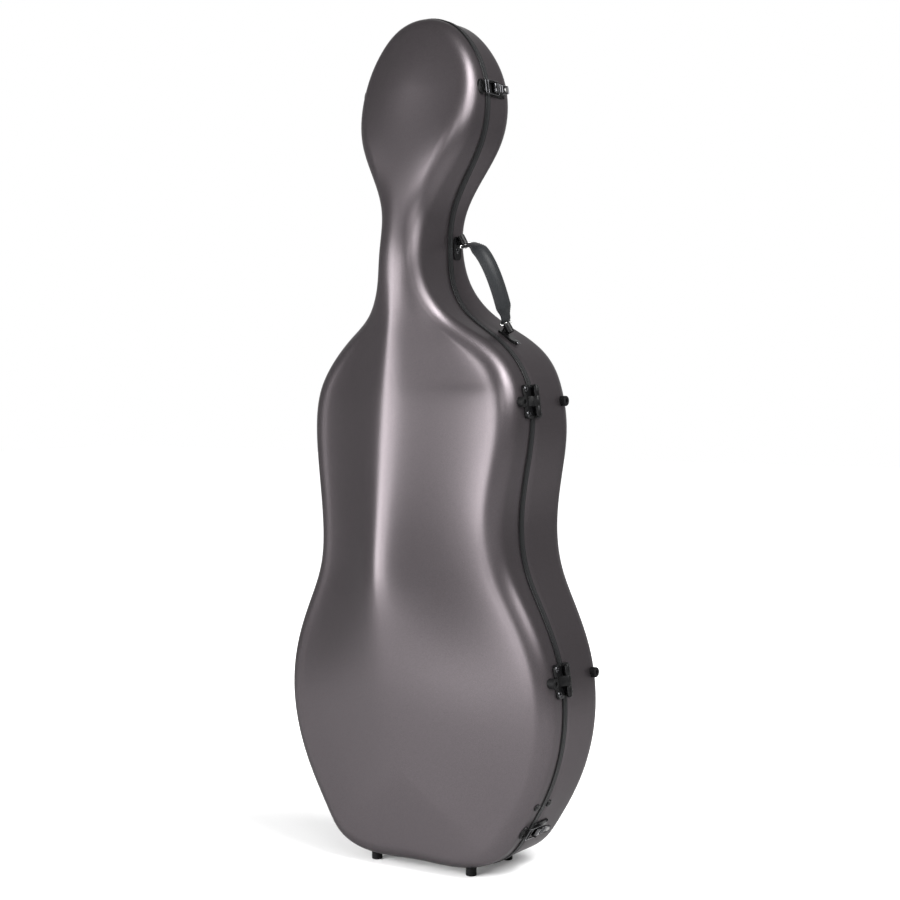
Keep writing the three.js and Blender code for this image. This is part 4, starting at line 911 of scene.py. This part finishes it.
def make_hinge(level):
    """One hinge: a plate with its knuckles and screws on each half, flat near-black discs on each plate as
    painted shade for the spare holes, and the pin.
    """
    place = hinge_frame(level)
    leaf_thickness, axis_height, sunk = 3.2, 10.5, 5.2
    face = leaf_thickness - axis_height
    barrel_end, running_gap = 23, 0.2
    zone = barrel_end / 3
    spans = {"lid": [(running_gap - zone, zone - running_gap)],
             "base": [(-barrel_end, -zone - running_gap), (zone + running_gap, barrel_end)]}
    cup = lathe([(3.3, -0.2), (5.0, -0.2), (5.0, 0.9), (4.5, 1.4), (3.8, 1.4), (3.3, 0.6), (3.3, -0.2)], 36)
    # A flat disc a little proud of the plate, coloured near-black as the painted shade of a hole
    hole = lathe([(0, 0.12), (2.7, 0.12), (2.9, 0.0), (2.9, -0.3)], 28)
    for body, side in (("lid", -1), ("base", 1)):
        near, far = sorted((side * 0.5, side * 22.4))
        parts = [thick_plate(rounded_rectangle(near, far, 25.9, 6.5), face - sunk, face, 0.8)]
        parts += [hinge_arm(side, *span) for span in spans[body]]
        rib = bent_path([(face, side * 20.4, -12), (face + 0.4, side * 20.4, -10),
                         (face + 0.4, side * 20.4, 10), (face, side * 20.4, 12)], 1.0)
        parts.append(tube(rib, 0.9, 10))
        new_piece(f"{level}_hinge_{body}_plate", merged(parts), METAL_BLACK, body,
                  f"{level}_hinge_{body}_leaf", 34, place)
        # The spare holes are flat discs just proud of the plate, not real holes: painted shade
        shade_discs = [placed(hole, on_face(face, side * 15.2, z)) for z in (-5.5, 5.5)]
        new_piece(f"{level}_hinge_{body}_spare_holes", merged(shade_discs), PAINTED_HOLE_SHADE, body,
                  None, 30, place)
        screws = []
        for z in (-19.0, 19.0):
            seat = on_face(face, side * 16.8, z)
            screws += [placed(cup, seat), placed(screw_head(3.1, 1.6), seat)]
        new_piece(f"{level}_hinge_{body}_screws", merged(screws), BLACK_NICKEL, body,
                  None, 34, place)
    head = lathe([(0, -2), (1.9, -2), (1.9, barrel_end + 0.2), (3.4, barrel_end + 0.2),
                  (3.6, barrel_end + 0.7), (3.2, barrel_end + 1.6), (2.0, barrel_end + 2.2),
                  (0, barrel_end + 2.3)], 32)
    heads = [placed(head, turned_over(side)) for side in (1, -1)]
    new_piece(f"{level}_hinge_steel_pin", merged(heads), METAL_BLACK, "base",
              f"{level}_hinge_pin", 34, place)


for level in ("lower", "upper"):
    make_hinge(level)


# ---- Feet

def make_foot(node, body, axis, sign, radius, edge=2.0):
    """A moulded rubber foot with a rounded end and a screw in its recess."""
    low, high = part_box(node)
    index = "XYZ".index(axis)
    tip, root = (high[index], low[index]) if sign > 0 else (low[index], high[index])
    height = abs(tip - root) / MM
    origin = (low + high) / 2
    origin[index] = root
    direction = Vector([sign if k == index else 0 for k in range(3)])
    turn = direction.to_track_quat("Z", "Y").to_matrix().to_4x4()
    place = Matrix.Translation(origin) @ turn @ Matrix.Scale(MM, 4)
    wall, recess = radius - 0.05, 3.2
    hole = radius * 0.42
    profile = [(0, 0), (wall, 0), (wall, height - edge)]
    profile += rounded_corner((wall - edge, height - edge), edge, 0, 90, 6)[1:]
    profile += [(hole + 0.8, height), (hole, height - 0.8), (hole, height - recess), (0, height - recess)]
    new_piece(f"{node}_rubber", lathe(profile, 48), RUBBER, body, node, 32, place)
    screw = placed(screw_head(hole * 0.82, 1.2), Matrix.Translation((0, 0, height - recess)))
    new_piece(f"{node}_screw", screw, METAL_BLACK, body, None, 30, place)


for half in ("lid", "base"):
    for side_name in ("right", "left"):
        make_foot(f"{half}_bottom_foot_{side_name}", half, "Z", -1, 8.5)
    for level in ("lower", "upper"):
        make_foot(f"{half}_side_foot_{level}", half, "X", 1, 8)
for level in ("lower", "upper"):
    for side_name in ("right", "left"):
        make_foot(f"back_foot_{level}_{side_name}", "base", "Y", 1, 12, 2.5)


# ---- Carrying handle

# How far the strap stands out, how much further it does above the middle, and its widths
GRIP_RISE, GRIP_SKEW = 35, 0.45
STRAP_HALF, GRIP_SWELL = 8.5, 5


def handle_place():
    """The handle's frame: z along its swing line from the lower bracket up, x out of the case."""
    joint = joints["handle_swing"]
    along = Vector(joint["axis"]).normalized()
    middle = Vector(joint["pos_m"])
    corners = [vert.co for vert in frame["nodes"]["handle_grip"].data.vertices]
    out = sum(corners, Vector()) / len(corners) - middle
    out = (out - along * out.dot(along)).normalized()
    across = along.cross(out)
    turn = Matrix((out, across, along)).transposed().to_4x4()
    return Matrix.Translation(middle) @ turn @ Matrix.Scale(MM, 4)


def grip_reach(place):
    """How far the handle's solid reaches from its middle along its swing line."""
    back = place.inverted()
    return max((back @ vert.co).z for vert in frame["nodes"]["handle_grip"].data.vertices)


def make_bracket_screw(level, pivot):
    """The screw with its cup washer in the lower part of a handle bracket's plate."""
    plate_top, drop = 3.0, 20
    centre = case_to_row.inverted() @ pivot
    x, z, in_x, in_z = nearest_on_outline(centre)
    turn = Matrix(((-in_x, 0, -in_z), (0, 1, 0), (in_z, 0, -in_x))).transposed().to_4x4()
    place = Matrix.Translation((x, centre.y, z)) @ turn
    seat = on_face(plate_top, 0, -drop)
    washer = lathe([(3.0, -0.3), (5.2, -0.3), (5.2, 0.4), (4.4, 1.0), (3.4, 1.0), (3.0, 0.4),
                    (3.0, -0.3)], 36)
    screw = merged([placed(washer, seat), placed(screw_head(3.0, 1.5), seat)])
    new_piece(f"{level}_handle_bracket_screw", screw, BLACK_NICKEL, "base", None, 34,
              case_to_row @ place)


def make_handle():
    """The padded strap with its stitching, and the fittings that hold it at both brackets."""
    place = handle_place()
    reach = grip_reach(place)
    strap_end = reach - 8
    make_strap(place, strap_end)
    make_stitching(place, strap_end)
    for side, level in ((-1, "lower"), (1, "upper")):
        make_strap_fittings(place, side, level, strap_end, reach + 5.4)


def strap_station(strap_end, t):
    """Lift, place along the swing line and slope of the strap, t going from end to end."""
    arch = math.sqrt(max(1 - t * t, 0))
    lift = GRIP_RISE * arch * (1 + GRIP_SKEW * t)
    climb = GRIP_SKEW * arch * arch - t * (1 + GRIP_SKEW * t)
    return lift, strap_end * t, math.atan2(GRIP_RISE * climb, strap_end * max(arch, 1e-6))


def padding_share(t):
    """How much of the grip's padding and extra width there is, from none at the ends to all."""
    share = min(max((0.9 - abs(t)) / 0.22, 0), 1)
    return share * share * (3 - 2 * share)


def strap_point(station, depth, aside):
    """A point off the strap's middle line, depth being square to its slope."""
    lift, z, slope = station
    return lift + depth * math.cos(slope), aside, z - depth * math.sin(slope)


def make_strap(place, strap_end):
    """A thin stitched edge all round, and padding that swells between the two ends."""
    stations, sides, flange = 56, 28, 1.3
    rings = []
    for step in range(stations + 1):
        t = -1 + 2 * step / stations
        station = strap_station(strap_end, t)
        half_width = STRAP_HALF + GRIP_SWELL * padding_share(t)
        bulge = 2.0 + 4.2 * padding_share(t)
        section = []
        for k in range(sides):
            wide, thick = (turn(2 * math.pi * k / sides) for turn in (math.sin, math.cos))
            inner = max(1 - (abs(wide) / 0.86) ** 2.2, 0)
            depth = math.copysign(flange * min(1, abs(thick) * 3) + (bulge - flange) * inner, thick)
            section.append(strap_point(station, depth, half_width * wide))
        rings.append(np.array(section))
    pad = new_piece("handle_padded_strap", loft(capped(rings)), LEATHER, "handle",
                    "handle_grip", 70, place)


def make_stitching(place, strap_end):
    """Stitches that wrap both edges of the strap."""
    count, start = 44, -0.86
    wrap = [(1.7, -2.3), (1.5, -0.7), (0.6, -0.05), (-0.6, -0.05), (-1.5, -0.7), (-1.7, -2.3)]
    stitches = []
    for side in (-1, 1):
        for step in range(count):
            t = start - 2 * start * (step + 0.5) / count
            station = strap_station(strap_end, t)
            half = STRAP_HALF + GRIP_SWELL * padding_share(t)
            stitches.append(tube([strap_point(station, depth, side * (half + aside))
                                  for depth, aside in wrap], 0.38, 6))
    new_piece("handle_edge_stitching", merged(stitches), THREAD, "handle", None, 60, place)


def make_strap_fittings(place, side, level, strap_end, pivot_reach):
    """At one end: the wire swivel and its pin, the pin's cap, and the bracket's collar and screw."""
    z = side * strap_end
    near, far, half = z - side * 1, z + side * 3.4, 9.5
    loop = [(0, 0, near), (0, -half, near), (0, -half, far), (0, half, far), (0, half, near), (0, 0, near)]
    pin = placed(lathe([(0, -3), (2.45, -3), (2.45, 7.6), (2.0, 8), (0, 8)], 24),
                 Matrix.Translation((0, 0, z)) @ turned_over(side))
    new_piece(f"handle_{level}_swivel", merged([tube(bent_path(loop, 1.6, 4), 1.25, 10), pin]), BRIGHT,
              "handle", None, 40, place)
    cap = placed(lathe([(0, 2.2), (2.6, 1.9), (4.2, 1.0), (4.8, 0), (4.8, -0.4)], 32),
                 Matrix.Translation((0, 0, z + side * 12.65)) @ turned_over(side))
    new_piece(f"handle_{level}_pin_cap", cap, BRIGHT, "base", None, 40, place)
    finish_node(f"{level}_handle_bracket", METAL_BLACK, 0.5)
    pivot = side * pivot_reach
    collar = placed(lathe([(2.8, -5.15), (5.6, -5.15), (6.15, -4.6), (6.15, 4.6), (5.6, 5.15), (2.8, 5.15),
                           (2.8, -5.15)], 40), Matrix.Translation((0, 0, pivot)))
    new_piece(f"{level}_handle_bracket_collar", collar, METAL_BLACK, "base", None, 34, place)
    make_bracket_screw(level, place @ Vector((0, 0, pivot)))


make_handle()


# ---- Pads, rests and straps inside

def soft_copy(node, voxel, smoothing):
    """The node's solid remeshed in fine even squares and relaxed, as padding under velour."""
    shape = in_scene("soft_copy", frame["nodes"][node].data.copy())
    remesh = shape.modifiers.new("even squares", "REMESH")
    remesh.mode = "VOXEL"
    remesh.voxel_size = voxel * MM
    relax = shape.modifiers.new("relaxed", "SMOOTH")
    relax.factor = 0.5
    relax.iterations = smoothing
    depsgraph = bpy.context.evaluated_depsgraph_get()
    made = bpy.data.meshes.new_from_object(shape.evaluated_get(depsgraph))
    bpy.data.objects.remove(shape)
    points = np.array([tuple(case_to_row.inverted() @ vert.co) for vert in made.vertices])
    faces = [tuple(face.vertices) for face in made.polygons]
    bpy.data.meshes.remove(made)
    return points, faces


def velour_piece(node, body, part):
    """A padded velour piece in the place of a node's solid."""
    piece = new_piece(f"{node}_velour", part, VELOUR, body, node, 70)


def pulled_in(points, centre_z, half_width, half_height):
    """Draws the sides in between the corners of a cushion that lies across the case."""
    end_pull, long_pull = 0.035, 0.0875
    u, v = points[:, 0] / half_width, (points[:, 2] - centre_z) / half_height
    result = points.copy()
    result[:, 0] = half_width * u * (1 - end_pull * np.clip(1 - v * v, 0, 1))
    result[:, 2] = centre_z + half_height * v * (1 - long_pull * np.clip(1 - u * u, 0, 1))
    return result


def rim_path(width, height, depth, centre_z, start, end):
    """The seam round the face of a padded block, between two angles in degrees."""
    steps, scale = 60, 0.9
    path = []
    for step in range(steps + 1):
        angle = math.radians(start + (end - start) * step / steps)
        across, up = (math.copysign(math.sqrt(abs(way)), way) for way in (math.cos(angle), math.sin(angle)))
        path.append((across * width / 2 * scale, depth, up * height / 2 * scale + centre_z))
    return np.array(path)


def make_cushion(node, width, height, depths, angles, centre_z):
    """A crowned velour cushion with a corded seam round its face and two sewn channels across it."""
    front, back = depths
    channel_place, channel_width, channel_depth, hollow = 0.19, 3.2, 2.6, 1.2
    half_width, half_height = width / 2, height / 2
    points, faces = soft_copy(node, 4, 5)
    points = pulled_in(points, centre_z, half_width, half_height)
    u = np.clip(np.abs(points[:, 0]) / half_width, 0, 1)
    v = np.clip(np.abs(points[:, 2] - centre_z) / half_height, 0, 1)
    near_face = np.clip((back - points[:, 1]) / (back - front), 0, 1) ** 2
    channel = sum(np.exp(-((points[:, 0] - side * width * channel_place) / channel_width) ** 2)
                  for side in (-1, 1))
    sewn, dished = channel_depth * channel * (1 - v ** 4), hollow * (1 - u ** 2) * (1 - v ** 2)
    points[:, 1] += near_face * (sewn - dished)
    velour_piece(node, "base", (points, faces))
    rim = rim_path(width, height, front + (back - front) * 0.07 + 0.4, centre_z, *angles)
    rim = pulled_in(rim, centre_z, half_width, half_height)
    cord = tube(rim, 1.7, 10, closed=angles[1] - angles[0] == 360)
    new_piece(f"{node}_corded_seam", cord, THREAD, "base")


def make_inner_pads():
    """The two cushions, the neck cradle and the bow rests."""
    inner = SHELL + LINING + 2 * GAP
    make_cushion("end_cushion", 250, 92, (15, 119), (4, 176), FOOT_HEIGHT + inner)
    back_z = FOOT_HEIGHT + 0.545 * SHELL_HEIGHT
    back_y = float(BASE_FORM["crown_at"](back_z)) - inner
    make_cushion("upper_back_pad", 236, 70, (back_y - 26, back_y), (0, 360), back_z)
    velour_piece("neck_cradle", "base", soft_copy("neck_cradle", 3, 4))
    for node in ("bow_frog_rest", "bow_tip_rest"):
        velour_piece(node, "lid", soft_copy(node, 2.5, 4))


make_inner_pads()


def make_neck_band():
    """The soft band over the neck: a webbing arch with bound edges and two stitched ends."""
    low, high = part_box("neck_band")
    centre_z = (low.z + high.z) / 2 / MM
    half_width, rise, base_y, shrink, half_height = 27.5, 26.0, 14.0, 0.945, 19
    bends = [(half_width, -0.3), (half_width, -rise), (half_width / 2, -rise), (0, -rise)]
    steps = 14
    path = []
    for t in (step / steps for step in range(steps + 1)):
        weights = np.array([(1 - t) ** 3, 3 * t * (1 - t) ** 2, 3 * t * t * (1 - t), t ** 3])
        path.append(tuple(weights @ bends * shrink))
    path += [(-x, y) for x, y in path[-2::-1]]
    path[0], path[-1] = (path[0][0], -0.5), (path[-1][0], -0.5)
    edge = [(1.2, half_height - 1.8), (0.85, half_height - 0.4), (0, half_height),
            (-0.85, half_height - 0.4), (-1.2, half_height - 1.8)]
    section = edge + [(-thick, -along) for thick, along in edge]
    rings = []
    for index, (x, y) in enumerate(path):
        before, after = path[max(index - 1, 0)], path[min(index + 1, len(path) - 1)]
        along = np.array(after) - np.array(before)
        along /= np.linalg.norm(along)
        rings.append(np.array([(x - along[1] * d, base_y + y + along[0] * d, centre_z + z)
                               for d, z in section]))
    new_piece("neck_band_webbing", loft(capped(rings)), WEBBING, "base", "neck_band", 50)
    bindings = [tube([(x, base_y + y, centre_z + z) for x, y in path], 1.55, 10) for z in (-18.2, 18.2)]
    for side, (x, y) in ((-1, path[-3]), (1, path[2])):
        for row in range(9):
            z = centre_z - 14 + 3.5 * row
            bindings.append(tube([(x + side * 1.3, base_y + y, z + end) for end in (-1, 1)], 0.4, 6))
    new_piece("neck_band_binding", merged(bindings), THREAD, "base")


make_neck_band()


def make_stay_anchor(half):
    """A screwed button outside, its shaft through the wall and the washer that holds the strap."""
    node = f"lid_stay_{half}_anchor"
    depth = 18 * (-1 if half == "lid" else 1)
    low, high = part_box(node)
    centre = case_to_row.inverted() @ ((low + high) / 2)
    x, z, in_x, in_z = nearest_on_outline(centre)
    slip = (centre.x - x) * -in_z + (centre.z - z) * in_x
    place = Matrix.Translation((x - in_z * slip, depth, z + in_x * slip)) @ \
        Vector((-in_x, 0, -in_z)).to_track_quat("Z", "Y").to_matrix().to_4x4()
    button = lathe([(0, -2.2), (6, -2.2), (6, 1.6), (5.7, 2.2), (5.1, 2.5), (3.9, 2.5), (3.7, 2.0),
                    (0, 2.0)])
    screw = placed(screw_head(3.3, 1.0), Matrix.Translation((0, 0, 2.0)))
    inner = -SHELL - LINING - 3 * GAP
    washer = lathe([(0, 0), (2.5, 0), (2.5, inner), (6.2, inner), (6.5, inner - 0.4), (6.5, inner - 2.0),
                    (6.1, inner - 2.4), (3.2, inner - 2.4), (2.6, inner - 1.9), (0, inner - 1.9)])
    new_piece(f"{node}_button", merged([button, screw, washer]), METAL_BLACK, half, node, 34,
              case_to_row @ place)


def make_stay_strap():
    """The webbing folded between the anchors, from one half to the other: a copy of its solid in webbing.
    """
    mesh = frame["nodes"]["lid_stay_strap"].data.copy()
    finish_surface(mesh, WEBBING, 50)
    piece = in_scene("lid_stay_webbing", mesh)
    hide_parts("lid_stay_strap")
    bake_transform(piece)


for half in ("lid", "base"):
    make_stay_anchor(half)
make_stay_strap()


# ---- Camera, light and floor

def make_camera():
    """The view of the photo: where the camera stands and which way it looks."""
    turn, aside, tilt = math.radians(30.943), math.radians(-1.975), math.radians(2.4034)
    distance, height, step_right = 2.7684, 0.7726, 0.1276
    focal_pixels, image_pixels, sensor_width = 1768.7, 900, 36
    data = bpy.data.cameras.new("camera")
    data.sensor_width = sensor_width
    data.lens = focal_pixels / image_pixels * sensor_width
    data.clip_end = 60
    camera = in_scene("camera", data)
    right = Vector((math.cos(turn), math.sin(turn), 0))
    ahead = Vector((-math.sin(turn), math.cos(turn), 0))
    camera.location = Vector((middle_x, seam_y, height)) - ahead * distance + right * step_right
    level_aim = right * math.sin(aside) + ahead * math.cos(aside)
    aim = level_aim * math.cos(tilt) - Vector((0, 0, math.sin(tilt)))
    camera.rotation_mode = "QUATERNION"
    camera.rotation_quaternion = aim.to_track_quat("-Z", "Y")
    bpy.context.scene.camera = camera


def soft_box(name, azimuth, distance, middle_height, width, height, glow):
    """A tall soft box that faces the case from one side, glow being its brightness beside white."""
    highest_aim = 1.2
    data = bpy.data.lights.new(name, "AREA")
    data.shape = "RECTANGLE"
    data.size, data.size_y, data.energy = width, height, glow * math.pi * width * height
    lamp = in_scene(name, data)
    angle = math.radians(azimuth)
    lamp.location = (distance * math.sin(angle), -distance * math.cos(angle), middle_height)
    facing = Vector((0, 0, min(middle_height, highest_aim))) - lamp.location
    lamp.rotation_mode = "QUATERNION"
    lamp.rotation_quaternion = facing.to_track_quat("-Z", "Y")
    lamp.visible_camera = False


def make_stage():
    """A studio with a white backdrop and floor, and soft boxes round the case."""
    make_backdrop()
    make_floor()
    # Turn from the front in degrees, distance, height of the middle, width, height and brightness
    for name, *settings in (
            ("left soft box", -28, 2.2, 0.8, 1.2, 1.5, 14.5),
            ("front soft box", -2, 2.2, 0.8, 0.7, 1.5, 10.5),
            ("front fill box", 14, 2.2, 0.8, 0.5, 1.5, 2),
            ("right soft box", 80, 2.2, 2.1, 1.9, 1.2, 12.5),
            ("high right soft box", 78, 2.2, 3.1, 1.3, 0.9, 30),
            ("small right box", 40, 2.2, 1.55, 0.6, 0.7, 8)):
        soft_box(name, *settings)


def camera_and_mirror_rays(tree):
    """Two masks: rays from the camera, and rays that come off a mirror or through glass."""
    rays = add(tree, "ShaderNodeLightPath").outputs
    mirrored = math_node(tree, "MAXIMUM", rays["Is Glossy Ray"], rays["Is Transmission Ray"])
    return rays["Is Camera Ray"], mirrored


def soft_fade(tree, value, start, end, low, high):
    """A smooth step from low to high while a value goes from start to end."""
    fade = add(tree, "ShaderNodeMapRange", interpolation_type="SMOOTHSTEP")
    for label, setting in (("From Min", start), ("From Max", end), ("To Min", low), ("To Max", high)):
        fade.inputs[label].default_value = setting
    tree.links.new(value, fade.inputs["Value"])
    return fade.outputs["Result"]


def make_backdrop():
    """White behind the case, which metal sees dimmer to the sides and behind the camera."""
    behind_case, grey, white = (-0.514, 0.858, 0), (0.3, 0.3, 0.3), (1, 1, 1)
    world = bpy.data.worlds.new("studio")
    bpy.context.scene.world = world
    world.use_nodes = True
    tree = world.node_tree
    in_view, mirrored = camera_and_mirror_rays(tree)
    way = add(tree, "ShaderNodeTexCoord")
    towards = add(tree, "ShaderNodeVectorMath", operation="DOT_PRODUCT")
    towards.inputs[1].default_value = behind_case
    tree.links.new(way.outputs["Generated"], towards.inputs[0])
    backdrop = soft_fade(tree, towards.outputs["Value"], 0.5, 0.9, 0.25, 1)
    seen = math_node(tree, "MAXIMUM", in_view, math_node(tree, "MINIMUM", mirrored, backdrop))
    two_tone(tree, seen, grey, white, tree.nodes["Background"].inputs["Color"])


def make_floor():
    """A white floor that keeps the shadow near the case and melts into the backdrop further off."""
    material, tree, shader = new_material("white floor", Roughness=0.9, Specular_IOR_Level=0.1,
                                          Base_Color=(0.88, 0.88, 0.88, 1), Emission_Color=(1, 1, 1, 1))
    in_view, mirrored = camera_and_mirror_rays(tree)
    seen = math_node(tree, "MAXIMUM", in_view, math_node(tree, "MULTIPLY", mirrored, 0.15))
    spot = add(tree, "ShaderNodeTexCoord")
    away = add(tree, "ShaderNodeVectorMath", operation="LENGTH")
    tree.links.new(spot.outputs["Object"], away.inputs[0])
    glow = soft_fade(tree, away.outputs["Value"], 0.25, 1.3, 0.1, 0.9)
    tree.links.new(math_node(tree, "MULTIPLY", seen, glow), shader.inputs["Emission Strength"])
    reach = 12.0
    corners = [(-reach, -reach, 0), (reach, -reach, 0), (reach, reach, 0), (-reach, reach, 0)]
    mesh = bpy.data.meshes.new("floor")
    mesh.from_pydata(corners, [], [(0, 1, 2, 3)])
    mesh.materials.append(material)
    in_scene("floor", mesh)


make_camera()
make_stage()
bpy.context.scene.view_settings.view_transform = "Standard"
